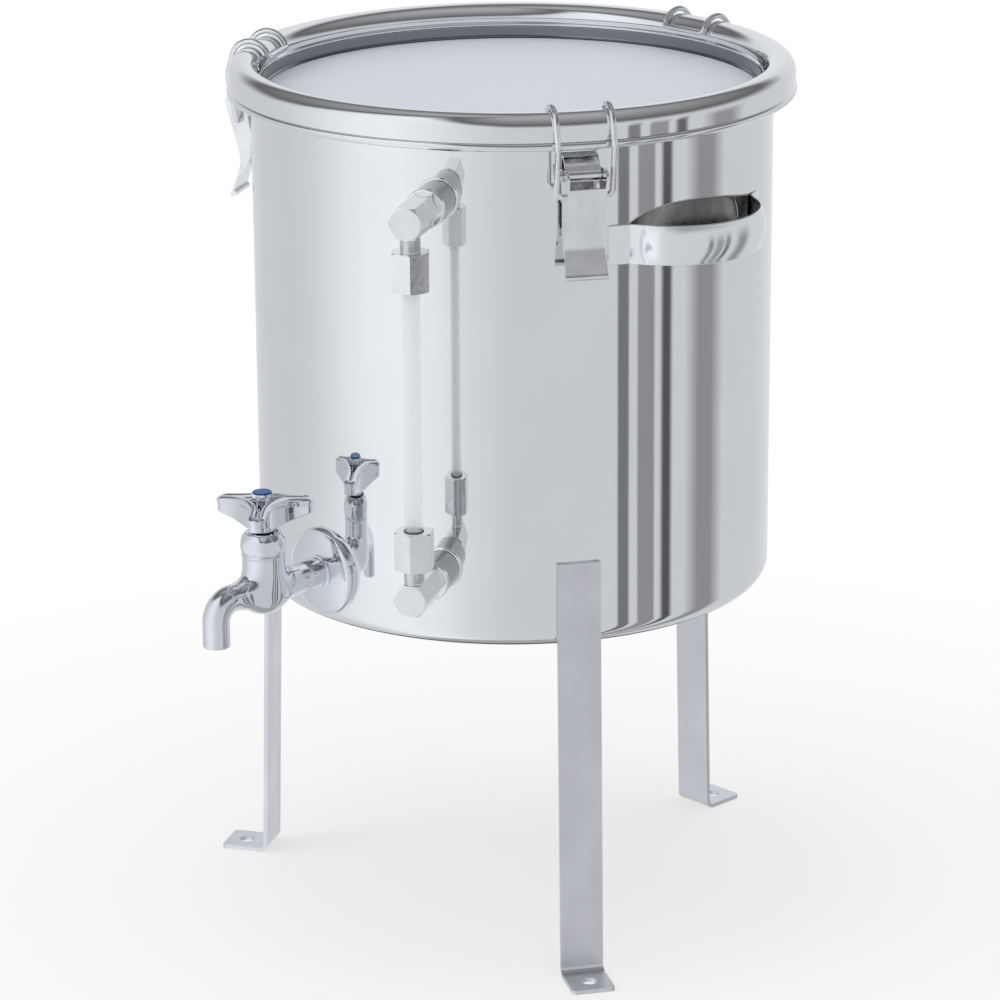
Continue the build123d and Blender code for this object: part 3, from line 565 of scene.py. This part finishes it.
STRAP_TONES = (0.87, 0.88, 0.90), (0.92, 0.93, 0.95)
STRAP_ROUGHNESS = 0.10, 0.17
INNER_SHADE_TONES = (0.30, 0.29, 0.27), (0.42, 0.41, 0.39)
INNER_ROUGHNESS = 0.22, 0.34


def polar(bearing, along, t, z):
    """Point at a bearing from the tap, in metres; t runs round the tank to the right."""
    a = math.radians(bearing)
    return (
        (along * math.sin(a) + t * math.cos(a)) * MM,
        (-along * math.cos(a) + t * math.sin(a)) * MM,
        z * MM,
    )


def ease(stops, value):
    """Value read from a short table, with smooth steps between its rows."""
    for (a, low), (b, high) in zip(stops, stops[1:]):
        if value <= b:
            share = max(0.0, (value - a) / (b - a))
            share = share * share * (3 - 2 * share)
            return low + (high - low) * share
    return stops[-1][1]


def half_strap():
    """Stations from the strap's middle to the end of one pad.

    Each is its place (t, u), its normal (t, u) and its degrees round the bow.
    """
    rows = []
    for step in range(BOW_STEPS + 1):
        angle = BOW_END * step / BOW_STEPS
        across, out = math.sin(angle), math.cos(angle)
        rows.append((BOW_R * across, BOW_CENTRE_U + BOW_R * out, across, out, math.degrees(angle)))
    leave = Vector((math.cos(BOW_END), -math.sin(BOW_END)))
    pad = (PAD_END - NECK).normalized()
    bend = math.acos(leave.dot(pad))
    cut = NECK_BEND_R * math.tan(bend / 2)
    start = NECK - leave * cut
    side = Vector((-leave.y, leave.x))
    bow_end = Vector(rows[BOW_STEPS][:2])
    for step in range(1, NECK_STEPS):
        spot = bow_end.lerp(start, step / NECK_STEPS)
        degrees = math.degrees(BOW_END + (spot - bow_end).length / BOW_R)
        rows.append((spot.x, spot.y, side.x, side.y, degrees))
    centre = start + side * NECK_BEND_R
    for step in range(NECK_BEND_STEPS + 1):
        turned = side.copy()
        turned.rotate(Matrix.Rotation(bend * step / NECK_BEND_STEPS, 2))
        spot = centre - turned * NECK_BEND_R
        rows.append((spot.x, spot.y, turned.x, turned.y, PAD_TURN))
    out = Vector((-pad.y, pad.x))
    for share in PAD_SHARES:
        spot = (NECK + pad * cut).lerp(PAD_END, share)
        rows.append((spot.x, spot.y, out.x, out.y, PAD_TURN))
    return rows


def strap_section(degrees):
    """Closed section (out, up) of the strap: outer face, round edge, inner face, round edge."""
    half = STRAP_H / 2 - STRAP_T / 2
    face = []
    for step in range(2 * FACE_HALF + 1):
        share = (1 - step / FACE_HALF) ** 2
        turn = degrees + DISH_ROUND * share
        crease = CREASE_DEEP * max(0, 1 - abs(turn - CREASE_AT) / CREASE_HALF)
        dish = ease(DISH, turn) * (1 - share) - crease * (1 - share ** 3)
        face.append((dish, half * (1 - step / FACE_HALF)))
    edge = []
    for step in range(1, EDGE_STEPS):
        a = math.pi * step / EDGE_STEPS
        edge.append((STRAP_T / 2 * math.cos(a), half + STRAP_T / 2 * math.sin(a)))
    loop = [(STRAP_T / 2 + dish, up) for dish, up in face]
    loop += [(out, -up) for out, up in edge]
    loop += [(-STRAP_T / 2 + dish, up) for dish, up in reversed(face)]
    loop += [(-out, up) for out, up in edge]
    return loop


def tube_faces(rows, width):
    """Quads between the closed sections of a swept piece, with its two end caps."""
    faces = []
    for low in range(0, (rows - 1) * width, width):
        for i in range(width):
            j = (i + 1) % width
            faces.append((low + i, low + j, low + width + j, low + width + i))
    faces.append(range(width - 1, -1, -1))
    faces.append(range((rows - 1) * width, rows * width))
    return faces


handle_steel, shader, place = finish("handle_steel")
shade(grain(place, scale=20, detail=4), shader.inputs["Base Color"], *STRAP_TONES)
brushed = grain(place, scale=90, detail=5, stretch=(1, 1, 3))
between(brushed, shader.inputs["Roughness"], *STRAP_ROUGHNESS)
emboss(grain(place, scale=28, detail=2), shader, depth=0.00005)
# Painted shade: the inner side, facing the wall, is painted dark brown-grey.
inner_shade_steel, shader, place = finish("handle_inner_painted_shade")
shade(grain(place, scale=35, detail=5), shader.inputs["Base Color"], *INNER_SHADE_TONES)
rolled = grain(place, scale=120, detail=4, stretch=(1, 1, 0.4))
between(rolled, shader.inputs["Roughness"], *INNER_ROUGHNESS)
emboss(grain(place, scale=150, detail=3, stretch=(1, 1, 0.3)), shader, depth=0.00003)
half = half_strap()
other_half = [(-t, u, -across, out, degrees) for t, u, across, out, degrees in reversed(half[1:])]
stations = other_half + half
width = len(strap_section(0))
inner_from = 2 * FACE_HALF + EDGE_STEPS
for index, bearing in enumerate(STRAP_BEARINGS, 1):
    points = []
    for t, u, across, out, degrees in stations:
        for proud, up in strap_section(degrees):
            points.append(polar(bearing, u + proud * out, t + proud * across, STRAP_MID_Z + up))
    name = f"carry_handle_{index}_strap"
    mesh = bpy.data.meshes.new(name)
    mesh.from_pydata(points, [], tube_faces(len(stations), width))
    mesh.materials.append(handle_steel)
    mesh.materials.append(inner_shade_steel)
    for low in range(0, (len(stations) - 1) * width, width):
        for column in range(inner_from, inner_from + 2 * FACE_HALF):
            mesh.polygons[low + column].material_index = 1
    smooth(mesh)
    set_piece(name, mesh, handle_steel, "tank", "handle_steel", f"carry_handle_{index}")

# Lid clips: on each, a pressed base strip on the wall holds a pin, a pressed lever turns on the
# pin, and a wire bail swings in the lever and hooks over the lid. The pressings are of stainless
# steel, barrel-polished, which leaves them softly mottled.
CLIP_TONES = (0.78, 0.785, 0.80), (0.88, 0.885, 0.90)
CLIP_ROUGHNESS = 0.12, 0.24

clip_steel, shader, place = finish("clip_steel")
mottled = grain(place, scale=70, detail=5, roughness=0.6)
shade(mottled, shader.inputs["Base Color"], *CLIP_TONES)
between(grain(place, scale=220, detail=4), shader.inputs["Roughness"], *CLIP_ROUGHNESS)
emboss(grain(place, scale=120, detail=3), shader, depth=0.00004)
for piece in ("base", "pin", "lever", "bail"):
    dress(clip_steel, f"clip_{piece}_1", f"clip_{piece}_2", f"clip_{piece}_3")

# Tap body: one brass casting, an upright barrel with an inlet pipe, a round bowl and a spout bent
# down to the front. It is filed smooth where the pipes run into the barrel, then chromed to a
# mirror. Its inlet goes through the wall to the back nut.
TAP_U = 235.2
CAST_SIZES = {
    "Barrel radius": 14.6,
    "Barrel top": 303.4,
    "Lip radius": 15.1,
    "Bowl bottom": 260.0,
    "Pipe height": 276.3,
    "Inlet radius": 10.5,
    "Swelling radius": 13.6,
    "Spout radius": 9.35,
    "Spout end radius": 9.4,
    "Spout end": 245.5,
    "Bend radius": 14.0,
    "Blend": 9.0,
}
BOWL_ROUND = 12.0
BARREL_SPARE = 14.0
SWELL_U = 206.0, 232.0
NARROW_U = 238.0, 263.0
INLET_END_U = 166.0
BEND_U = 264.3
NOSE_U = BEND_U + 14.0
NOSE_TAPER = 12.0
NOSE_EDGE = 1.2
RING_U = 186.8
RING_R = 12.0
RING_HALF = 0.8
RING_BLEND = 1.0
LIP_Z = 301.4
MOUTH_R = 6.5
MOUTH_TOP_Z = 262.0
CHAMBER_R = 11.0
CHAMBER_LOW_Z = 275.8
WATERWAY_R = 6.0
WATERWAY_END_U = 200.0
CUT_EDGE = 0.8
FINE_EDGE = 0.6
CAST_LOW = (-17, -291, 242)
CAST_HIGH = (17, -163, 307)
CAST_GRID = 0.62
CAST_DEPTH = 10.0
CAST_ROUNDS = 3
CAST_SLOPE = 0.05
CAST_SHARP = 50
CHROME_TONES = (0.75, 0.775, 0.815), (0.80, 0.825, 0.865)
CHROME_ROUGHNESS = 0.02, 0.06


class Measure:
    """A length in millimetres that a node tree works out at every point of space."""

    def __init__(self, tree, socket):
        self.tree = tree
        self.socket = socket

    def work(self, operation, *others):
        values = [other.socket if isinstance(other, Measure) else other for other in others]
        return Measure(self.tree, reckon(self.tree, operation, self.socket, *values))

    def __add__(self, other):
        return self.work("ADD", other)

    def __sub__(self, other):
        return self.work("SUBTRACT", other)

    def __mul__(self, other):
        return self.work("MULTIPLY", other)

    def __neg__(self):
        return self.work("MULTIPLY", -1.0)

    def step(self, low, high):
        """0 below low and 1 above high, with a smooth climb between them."""
        return Measure(self.tree, span(self.tree, self.socket, low, high, curve="SMOOTHSTEP"))


def far(a, b):
    """Distance from two measures at right angles."""
    return (a * a + b * b).work("SQRT")


def joined(a, b, blend=0.0):
    """Outline round both shapes, with a blend where they meet."""
    return a.work("SMOOTH_MIN", b, blend) if blend else a.work("MINIMUM", b)


def shared(a, b, blend=0.0):
    """Outline of what lies in both shapes, with a rounded edge."""
    return a.work("SMOOTH_MAX", b, blend) if blend else a.work("MAXIMUM", b)


def rounded_disc(r, z, radius, low, high, rounding):
    """Upright disc or column with rounded edges."""
    out = r - (radius - rounding)
    middle = (low + high) * 0.5
    up = (z - middle).work("ABSOLUTE") - ((high - low) * 0.5 - rounding)
    corner = far(out.work("MAXIMUM", 0.0), up.work("MAXIMUM", 0.0))
    return corner + shared(out, up).work("MINIMUM", 0.0) - rounding


def tap_casting(x, u, z, size):
    """Distance from the tap body's skin, negative inside it."""
    r = far(x, u - TAP_U)
    barrel = rounded_disc(r, z, size["Barrel radius"], size["Bowl bottom"],
                          size["Barrel top"] + BARREL_SPARE, BOWL_ROUND)
    from_pipe = far(x, z - size["Pipe height"])
    swelling = u.step(*SWELL_U) - u.step(*NARROW_U)
    swelling = swelling * (size["Swelling radius"] - size["Inlet radius"])
    narrowing = u.step(*NARROW_U) * (size["Inlet radius"] - size["Spout radius"])
    pipe = from_pipe - (size["Inlet radius"] + swelling - narrowing)
    pipe = shared(pipe, u - BEND_U)
    bend_z = size["Pipe height"] - size["Bend radius"]
    bend = far(far(u - BEND_U, z - bend_z) - size["Bend radius"], x) - size["Spout radius"]
    bend = shared(bend, shared(-(u - BEND_U), -(z - bend_z)))
    from_nose = far(x, u - NOSE_U)
    thinning = (-(z - bend_z)).step(0.0, NOSE_TAPER)
    thinning = thinning * (size["Spout radius"] - size["Spout end radius"])
    nose = from_nose - (size["Spout radius"] - thinning)
    nose = shared(nose, z - bend_z)
    nose = shared(nose, -(z - size["Spout end"]), NOSE_EDGE)
    body = joined(barrel, joined(pipe, joined(bend, nose)), size["Blend"])
    ring = shared(from_pipe - RING_R, (u - RING_U).work("ABSOLUTE") - RING_HALF, FINE_EDGE)
    body = joined(body, ring, RING_BLEND)
    lip = shared(r - size["Lip radius"], (z - LIP_Z).work("ABSOLUTE") - RING_HALF, FINE_EDGE)
    body = joined(body, lip, FINE_EDGE)
    body = shared(body, -(u - INLET_END_U), CUT_EDGE)
    body = shared(body, z - size["Barrel top"], CUT_EDGE)
    mouth = shared(from_nose - MOUTH_R, z - MOUTH_TOP_Z)
    chamber = shared(r - CHAMBER_R, -(z - CHAMBER_LOW_Z))
    waterway = shared(from_pipe - WATERWAY_R, u - WATERWAY_END_U)
    return shared(shared(body, -mouth, FINE_EDGE), -joined(chamber, waterway))


def size_tree(name, sizes):
    """New node tree with a named input for each size, and those inputs."""
    tree = bpy.data.node_groups.new(name, "GeometryNodeTree")
    tree.interface.new_socket("Geometry", in_out="OUTPUT", socket_type="NodeSocketGeometry")
    for label, value in sizes.items():
        kind = "NodeSocketInt" if isinstance(value, int) else "NodeSocketFloat"
        tree.interface.new_socket(label, in_out="INPUT", socket_type=kind)
    return tree, add_node(tree, "NodeGroupInput").outputs


def end_tree(tree, shape, material):
    """Last nodes of a tree: copies made real, and the material."""
    whole = add_node(tree, "GeometryNodeRealizeInstances", in_0=shape)
    coat = add_node(tree, "GeometryNodeSetMaterial", in_0=whole.outputs[0])
    coat.inputs["Material"].default_value = material
    add_node(tree, "NodeGroupOutput", in_0=coat.outputs[0])


def cast_mesh(name, material, distance, sizes, low, high, grid):
    """Mesh of a cast piece from its distance rule, by a node tree with its sizes as inputs."""
    tree, entry = size_tree(name, sizes)
    size = {label: Measure(tree, entry[label]) for label in sizes}
    spot = add_node(tree, "GeometryNodeInputPosition")
    parts = add_node(tree, "ShaderNodeSeparateXYZ", in_0=spot.outputs[0])
    x, y, z = (Measure(tree, socket) * (1 / MM) for socket in parts.outputs)
    skin = distance(x, -y, z, size)
    solid = add_node(tree, "GeometryNodeVolumeCube")
    tree.links.new((-(skin - CAST_DEPTH)).socket, solid.inputs["Density"])
    solid.inputs["Min"].default_value = [c * MM for c in low]
    solid.inputs["Max"].default_value = [c * MM for c in high]
    for axis, start, end in zip("XYZ", low, high):
        solid.inputs[f"Resolution {axis}"].default_value = round((end - start) / grid)
    meshed = add_node(tree, "GeometryNodeVolumeToMesh")
    meshed.inputs["Threshold"].default_value = CAST_DEPTH
    tree.links.new(solid.outputs[0], meshed.inputs["Volume"])
    last = meshed.outputs[0]
    for _ in range(CAST_ROUNDS):
        outward = add_node(tree, "GeometryNodeInputNormal")
        shift = add_node(tree, "ShaderNodeVectorMath", operation="SCALE", in_0=outward.outputs[0])
        tree.links.new((skin * -MM).socket, shift.inputs["Scale"])
        settle = add_node(tree, "GeometryNodeSetPosition")
        tree.links.new(last, settle.inputs["Geometry"])
        tree.links.new(shift.outputs[0], settle.inputs["Offset"])
        last = settle.outputs[0]
    slopes = (
        distance(x + CAST_SLOPE, -y, z, size) - skin,
        skin - distance(x, -y + CAST_SLOPE, z, size),
        distance(x, -y, z + CAST_SLOPE, size) - skin,
    )
    outward = add_node(tree, "ShaderNodeCombineXYZ")
    for slope, socket in zip(slopes, outward.inputs):
        tree.links.new((slope * (1 / CAST_SLOPE)).socket, socket)
    facing = add_node(tree, "GeometryNodeSetMeshNormal", mode="FREE", domain="POINT")
    tree.links.new(last, facing.inputs["Mesh"])
    tree.links.new(outward.outputs[0], facing.inputs["Custom Normal"])
    end_tree(tree, facing.outputs[0], material)
    return grown(name, tree, sizes)


def grown(name, tree, sizes):
    """Plain mesh of what a node tree makes with these sizes."""
    holder = bpy.data.objects.new(f"{name}_maker", bpy.data.meshes.new(f"{name}_maker"))
    bpy.context.collection.objects.link(holder)
    maker = holder.modifiers.new(name, "NODES")
    maker.node_group = tree
    for item in tree.interface.items_tree:
        if item.in_out == "INPUT" and item.name in sizes:
            maker[item.identifier] = sizes[item.name]
    bpy.context.view_layer.update()
    ready = holder.evaluated_get(bpy.context.evaluated_depsgraph_get())
    mesh = bpy.data.meshes.new_from_object(ready)
    mesh.name = name
    holder.modifiers.remove(maker)
    bpy.data.objects.remove(holder)
    return mesh


tap_chrome, shader, place = finish("tap_chrome")
shade(grain(place, scale=40, detail=4), shader.inputs["Base Color"], *CHROME_TONES)
between(grain(place, scale=240, detail=4), shader.inputs["Roughness"], *CHROME_ROUGHNESS)
emboss(grain(place, scale=90, detail=2), shader, depth=0.00002)
mesh = cast_mesh("tap_body_casting", tap_chrome, tap_casting, CAST_SIZES,
                 CAST_LOW, CAST_HIGH, CAST_GRID)
smooth(mesh, CAST_SHARP)
set_piece("tap_body_casting", mesh, tap_chrome, "tank", "tap_chrome", "tap_body")

# Escutcheon: a cup of chromed brass sheet with a rounded edge and a fine groove round its face.
# It is slipped over the inlet pipe, and its edge is cut to sit close on the round wall.
CUP_HEIGHT = 276.3
CUP_SEAT_R = 181.05
CUP_STEPS = 160
CUP_SECTION = (
    (10.5, 186.0), (27.3, 186.0), (27.8, 185.7), (28.3, 185.9), (29.2, 185.5), (30.0, 184.7),
    (30.6, 183.5), (30.95, 181.8), (31.0, 177.7), (30.0, 177.7), (29.9, 181.8), (29.4, 183.2),
    (28.6, 184.3), (27.3, 185.0), (10.5, 185.0),
)


def seat(bearing, height):
    """Place for a piece that was spun upright: its axis points out of the wall."""
    a = math.radians(bearing)
    out = Vector((math.sin(a), -math.cos(a), 0))
    side = Vector((math.cos(a), math.sin(a), 0))
    turned = Matrix((side, Vector((0, 0, 1)), out)).transposed().to_4x4()
    return Matrix.Translation((0, 0, height * MM)) @ turned


mesh = spun("tap_escutcheon_cup", CUP_SECTION, CUP_STEPS)
for spot in mesh.vertices:
    spot.co.z = max(spot.co.z, math.sqrt((CUP_SEAT_R * MM) ** 2 - spot.co.x ** 2))
mesh.transform(seat(0, CUP_HEIGHT))
set_piece("tap_escutcheon_cup", mesh, tap_chrome, "tank", "tap_chrome", "tap_escutcheon")

# Tap bonnet, handle screw and packings: the bonnet and the knurled screw are turned from brass and
# chromed like the body. The rings that seal the spindle, the valve and the wall are black rubber.
dress(tap_chrome, "tap_bonnet", "tap_handle_screw")
dress(seal_rubber, "tap_outer_packing", "tap_inner_packing", "tap_packing", "tap_jumper_washer")

# Tap handle: three hollow arms cast in one piece with the hub, and a rolled edge that runs round
# them all; chromed brass. It sits on the spindle's end and is held by the knurled screw.
ARM_BEARINGS = (42, 162, 282)
HANDLE_SIZES = {
    "Arm half width": 6.2,
    "Arm tip": 37.0,
    "Arm blend": 24.0,
    "Edge top": 341.0,
    "Edge fall": 0.165,
    "Edge bar": 2.5,
    "Plate top": 335.2,
    "Shell": 2.2,
    "Hub radius": 7.5,
    "Hub low": 317.5,
    "Wall low": 321.0,
    "Wall rise": 0.22,
}
EDGE_LEVEL_R = 11.0
EDGE_BLEND = 2.6
WALL_INSET = 0.3
WALL_EDGE = 1.0
HOLLOW_INSET = 0.6
HOLLOW_FROM_R = 10.8
HUB_TOP_Z = 334.0
HUB_BLEND = 2.0
BORE_R = 5.0
BORE_TOP_Z = 333.2
HANDLE_LOW = (-40, -276, 315)
HANDLE_HIGH = (40, -196, 344)
HANDLE_GRID = 0.5
HANDLE_SHARP = 60


def handle_casting(x, u, z, size):
    """Distance from the tap handle's skin, negative inside it."""
    out = u - TAP_U
    r = far(x, out)
    star = None
    for bearing_of_arm in ARM_BEARINGS:
        a = math.radians(bearing_of_arm)
        along = x * math.sin(a) + out * math.cos(a)
        side = x * math.cos(a) - out * math.sin(a)
        reach = size["Arm tip"] - size["Arm half width"]
        beyond = along - along.work("MAXIMUM", 0.0).work("MINIMUM", reach)
        arm = far(side, beyond) - size["Arm half width"]
        star = joined(star, arm, size["Arm blend"]) if star else arm
    edge_z = size["Edge top"] - (r - EDGE_LEVEL_R).work("MAXIMUM", 0.0) * size["Edge fall"]
    bar = far(star + size["Edge bar"], z - (edge_z - size["Edge bar"])) - size["Edge bar"]
    low = size["Wall low"] + (r - size["Hub radius"]) * size["Wall rise"]
    wall = shared(star + WALL_INSET, z - size["Plate top"], CUT_EDGE)
    wall = shared(wall, low - z, WALL_EDGE)
    under_plate = z - (size["Plate top"] - size["Shell"])
    hollow = shared(star + HOLLOW_INSET + size["Shell"], under_plate, WALL_EDGE)
    hollow = shared(hollow, -(r - HOLLOW_FROM_R), WALL_EDGE)
    shell = joined(shared(wall, -hollow, FINE_EDGE), bar, EDGE_BLEND)
    hub = shared(r - size["Hub radius"], shared(size["Hub low"] - z, z - HUB_TOP_Z), CUT_EDGE)
    shell = joined(shell, hub, HUB_BLEND)
    return shared(shell, -shared(r - BORE_R, z - BORE_TOP_Z))


mesh = cast_mesh("tap_handle_casting", tap_chrome, handle_casting, HANDLE_SIZES,
                 HANDLE_LOW, HANDLE_HIGH, HANDLE_GRID)
smooth(mesh, HANDLE_SHARP)
set_piece("tap_handle_casting", mesh, tap_chrome, "tap_handle", "tap_chrome", "tap_handle")

# Index disc: a small moulded button of blue plastic, the sign for cold water.
# It is pressed into the top of the handle's screw.
BLUE_TONES = (0.003, 0.060, 0.22), (0.006, 0.085, 0.29)
BLUE_ROUGHNESS = 0.06, 0.12
BLUE_SHEEN = 0.25

index_blue, shader, place = finish("index_blue", 0.0)
shade(grain(place, scale=300, detail=4), shader.inputs["Base Color"], *BLUE_TONES)
between(grain(place, scale=500, detail=3), shader.inputs["Roughness"], *BLUE_ROUGHNESS)
shader.inputs["Specular IOR Level"].default_value = BLUE_SHEEN
dress(index_blue, "tap_index_disc")

# Tap inner pieces: the spindle, the jumper that it lifts, and the back nut inside the tank.
# They are turned from brass and left plain, with the fine rings of the tool.
BRASS_TONES = (0.66, 0.48, 0.20), (0.76, 0.58, 0.28)
BRASS_ROUGHNESS = 0.16, 0.30

tap_brass, shader, place = finish("tap_brass")
shade(grain(place, scale=120, detail=4), shader.inputs["Base Color"], *BRASS_TONES)
rings = grain(place, scale=400, detail=4, stretch=(1, 1, 6))
between(rings, shader.inputs["Roughness"], *BRASS_ROUGHNESS)
dress(tap_brass, "tap_spindle", "tap_jumper", "tap_back_nut")

# Level gauge sockets: two round steel sockets stand on the wall, each in a ring of weld. A collar
# of two rolled rings closes each one against its elbow. The sockets and the collars' necks are
# painted dark grey, a painted shade, and the weld and rolled rings are a lighter steel, partly a
# painted highlight.
GAUGE_BEARING = 30.5
GAUGE_HEIGHTS = {"low": 294.5, "high": 550.0}
GAUGE_STEPS = 96
WELD_SECTION = (
    (12.6, 180.2), (14.2, 180.2), (14.4, 181.2), (14.1, 181.9), (13.4, 182.4), (12.6, 182.5),
)
COLLAR_BORE = 6.6
COLLAR_NECK = 13.0
COLLAR_R = 13.4
COLLAR_FACE_R = 12.0
COLLAR_BACK_U = 205.0
COLLAR_SHOULDER_U = 207.5
COLLAR_FRONT_U = 212.0
COLLAR_RINGS = ((208.6, 1.0), (210.8, 1.2))
RING_STEPS = 8
SOCKET_SHADE_TONES = (0.36, 0.365, 0.38), (0.46, 0.465, 0.48)
SOCKET_ROUGHNESS = 0.12, 0.22
WELD_HIGHLIGHT_TONES = (0.90, 0.905, 0.91), (0.95, 0.955, 0.96)
WELD_ROUGHNESS = 0.06, 0.14

# Painted shade: the sockets and the collars' necks are dark grey.
shaded_socket_steel, shader, place = finish("shaded_socket_steel")
shade(grain(place, scale=60, detail=4), shader.inputs["Base Color"], *SOCKET_SHADE_TONES)
between(grain(place, scale=300, detail=4), shader.inputs["Roughness"], *SOCKET_ROUGHNESS)
emboss(grain(place, scale=240, detail=3), shader, depth=0.00002)
# Partly painted highlight: the weld and the collars' rings are a lighter steel.
highlit_steel, shader, place = finish("steel_painted_highlight")
shade(grain(place, scale=60, detail=4), shader.inputs["Base Color"], *WELD_HIGHLIGHT_TONES)
between(grain(place, scale=300, detail=4), shader.inputs["Roughness"], *WELD_ROUGHNESS)
collar_section = [
    (COLLAR_BORE, COLLAR_FRONT_U), (COLLAR_BORE, COLLAR_BACK_U),
    (COLLAR_NECK, COLLAR_BACK_U), (COLLAR_NECK, COLLAR_SHOULDER_U),
]
for middle, half in COLLAR_RINGS:
    for step in range(RING_STEPS + 1):
        a = math.pi * (step / RING_STEPS - 0.5)
        collar_section.append((COLLAR_R - half + half * math.cos(a), middle + half * math.sin(a)))
collar_section.append((COLLAR_FACE_R, COLLAR_FRONT_U))
for end, height in GAUGE_HEIGHTS.items():
    dress(shaded_socket_steel, f"gauge_boss_{end}")
    name = f"gauge_weld_{end}"
    mesh = spun(name, WELD_SECTION, GAUGE_STEPS)
    mesh.transform(seat(GAUGE_BEARING, height))
    set_piece(name, mesh, highlit_steel, "tank", "gauge_steel")
    name = f"gauge_collar_{end}_rings"
    mesh = spun(name, collar_section, GAUGE_STEPS)
    mesh.materials.append(highlit_steel)
    mesh.materials.append(shaded_socket_steel)
    # Collar necks take the painted shade, the rolled rings the partly painted highlight.
    for face in mesh.polygons:
        face.material_index = int(face.center.z < COLLAR_SHOULDER_U * MM)
    mesh.transform(seat(GAUGE_BEARING, height))
    set_piece(name, mesh, highlit_steel, "tank", "gauge_steel", f"gauge_collar_{end}")

# Level gauge elbows and nuts: the elbows are cut from hexagonal bar of stainless steel, and a
# hexagonal nut screws on each one's neck, which shows a few turns of its thread. They keep a fine
# bright tool finish, and the lip of a rubber seal shows inside each nut.
TUBE_U = 244.5
THREAD_SIZES = {"Neck radius": 6.3 * MM, "Ridge": 0.6 * MM, "Pitch": 1.45 * MM, "Turns": 6}
THREAD_STARTS = {"low": 306.4, "high": 531.2}
THREAD_STEPS = 48
RIDGE_STEPS = 10
LIP_HEIGHTS = {"low": 340.7, "high": 503.8}
LIP_R = 6.35
LIP_HALF = 0.4
LIP_STEPS = 12
LIP_SPIN_STEPS = 48
GAUGE_TONES = (0.78, 0.785, 0.795), (0.86, 0.865, 0.875)
GAUGE_ROUGHNESS = 0.06, 0.14


def thread_tree(material):
    """Node tree for a row of thread ridges, one pitch apart."""
    tree, entry = size_tree("neck_thread", THREAD_SIZES)
    hoop = add_node(tree, "GeometryNodeCurvePrimitiveCircle")
    hoop.inputs["Resolution"].default_value = THREAD_STEPS
    tree.links.new(entry["Neck radius"], hoop.inputs["Radius"])
    wire = add_node(tree, "GeometryNodeCurvePrimitiveCircle")
    wire.inputs["Resolution"].default_value = RIDGE_STEPS
    tree.links.new(entry["Ridge"], wire.inputs["Radius"])
    ridge = add_node(tree, "GeometryNodeCurveToMesh")
    tree.links.new(hoop.outputs["Curve"], ridge.inputs["Curve"])
    tree.links.new(wire.outputs["Curve"], ridge.inputs["Profile Curve"])
    climb = add_node(tree, "ShaderNodeCombineXYZ")
    tree.links.new(entry["Pitch"], climb.inputs["Z"])
    row = add_node(tree, "GeometryNodeMeshLine")
    tree.links.new(entry["Turns"], row.inputs["Count"])
    tree.links.new(climb.outputs[0], row.inputs["Offset"])
    copies = add_node(tree, "GeometryNodeInstanceOnPoints")
    tree.links.new(row.outputs[0], copies.inputs["Points"])
    tree.links.new(ridge.outputs[0], copies.inputs["Instance"])
    end_tree(tree, copies.outputs[0], material)
    return tree


gauge_steel, shader, place = finish("gauge_steel")
shade(grain(place, scale=60, detail=4), shader.inputs["Base Color"], *GAUGE_TONES)
between(grain(place, scale=300, detail=4), shader.inputs["Roughness"], *GAUGE_ROUGHNESS)
emboss(grain(place, scale=200, detail=3), shader, depth=0.00001)
thread = thread_tree(gauge_steel)
lip_section = []
for step in range(LIP_STEPS):
    a = 2 * math.pi * step / LIP_STEPS
    lip_section.append((LIP_R + LIP_HALF * math.cos(a), LIP_HALF * math.sin(a)))
for end in GAUGE_HEIGHTS:
    dress(gauge_steel, f"gauge_elbow_{end}", f"gauge_nut_{end}")
    name = f"gauge_thread_{end}"
    mesh = grown(name, thread, THREAD_SIZES)
    mesh.transform(Matrix.Translation(polar(GAUGE_BEARING, TUBE_U, 0, THREAD_STARTS[end])))
    smooth(mesh)
    set_piece(name, mesh, gauge_steel, "tank", "gauge_steel")
    dress(seal_rubber, f"gauge_seal_{end}")
    name = f"gauge_seal_{end}_lip"
    mesh = spun(name, lip_section, LIP_SPIN_STEPS)
    mesh.transform(Matrix.Translation(polar(GAUGE_BEARING, TUBE_U, 0, LIP_HEIGHTS[end])))
    set_piece(name, mesh, seal_rubber, "tank", "seal_rubber")

# Gauge tube: a plain length of milky clear plastic pipe, held and sealed by the two nuts.
# It is extruded, so that its faint clouds run along it.
TUBE_TONES = (0.90, 0.92, 0.955), (0.95, 0.965, 0.99)
TUBE_ROUGHNESS = 0.10, 0.20
TUBE_MILK = 0.36
TUBE_IOR = 1.4

clear_tube, shader, place = finish("clear_tube", 0.0)
clouds = grain(place, scale=40, detail=3, stretch=(1, 1, 0.2))
shade(clouds, shader.inputs["Base Color"], *TUBE_TONES)
shader.inputs["Alpha"].default_value = TUBE_MILK
shader.inputs["IOR"].default_value = TUBE_IOR
drawn = grain(place, scale=60, detail=4, stretch=(1, 1, 0.1))
between(drawn, shader.inputs["Roughness"], *TUBE_ROUGHNESS)
dress(clear_tube, "gauge_tube")
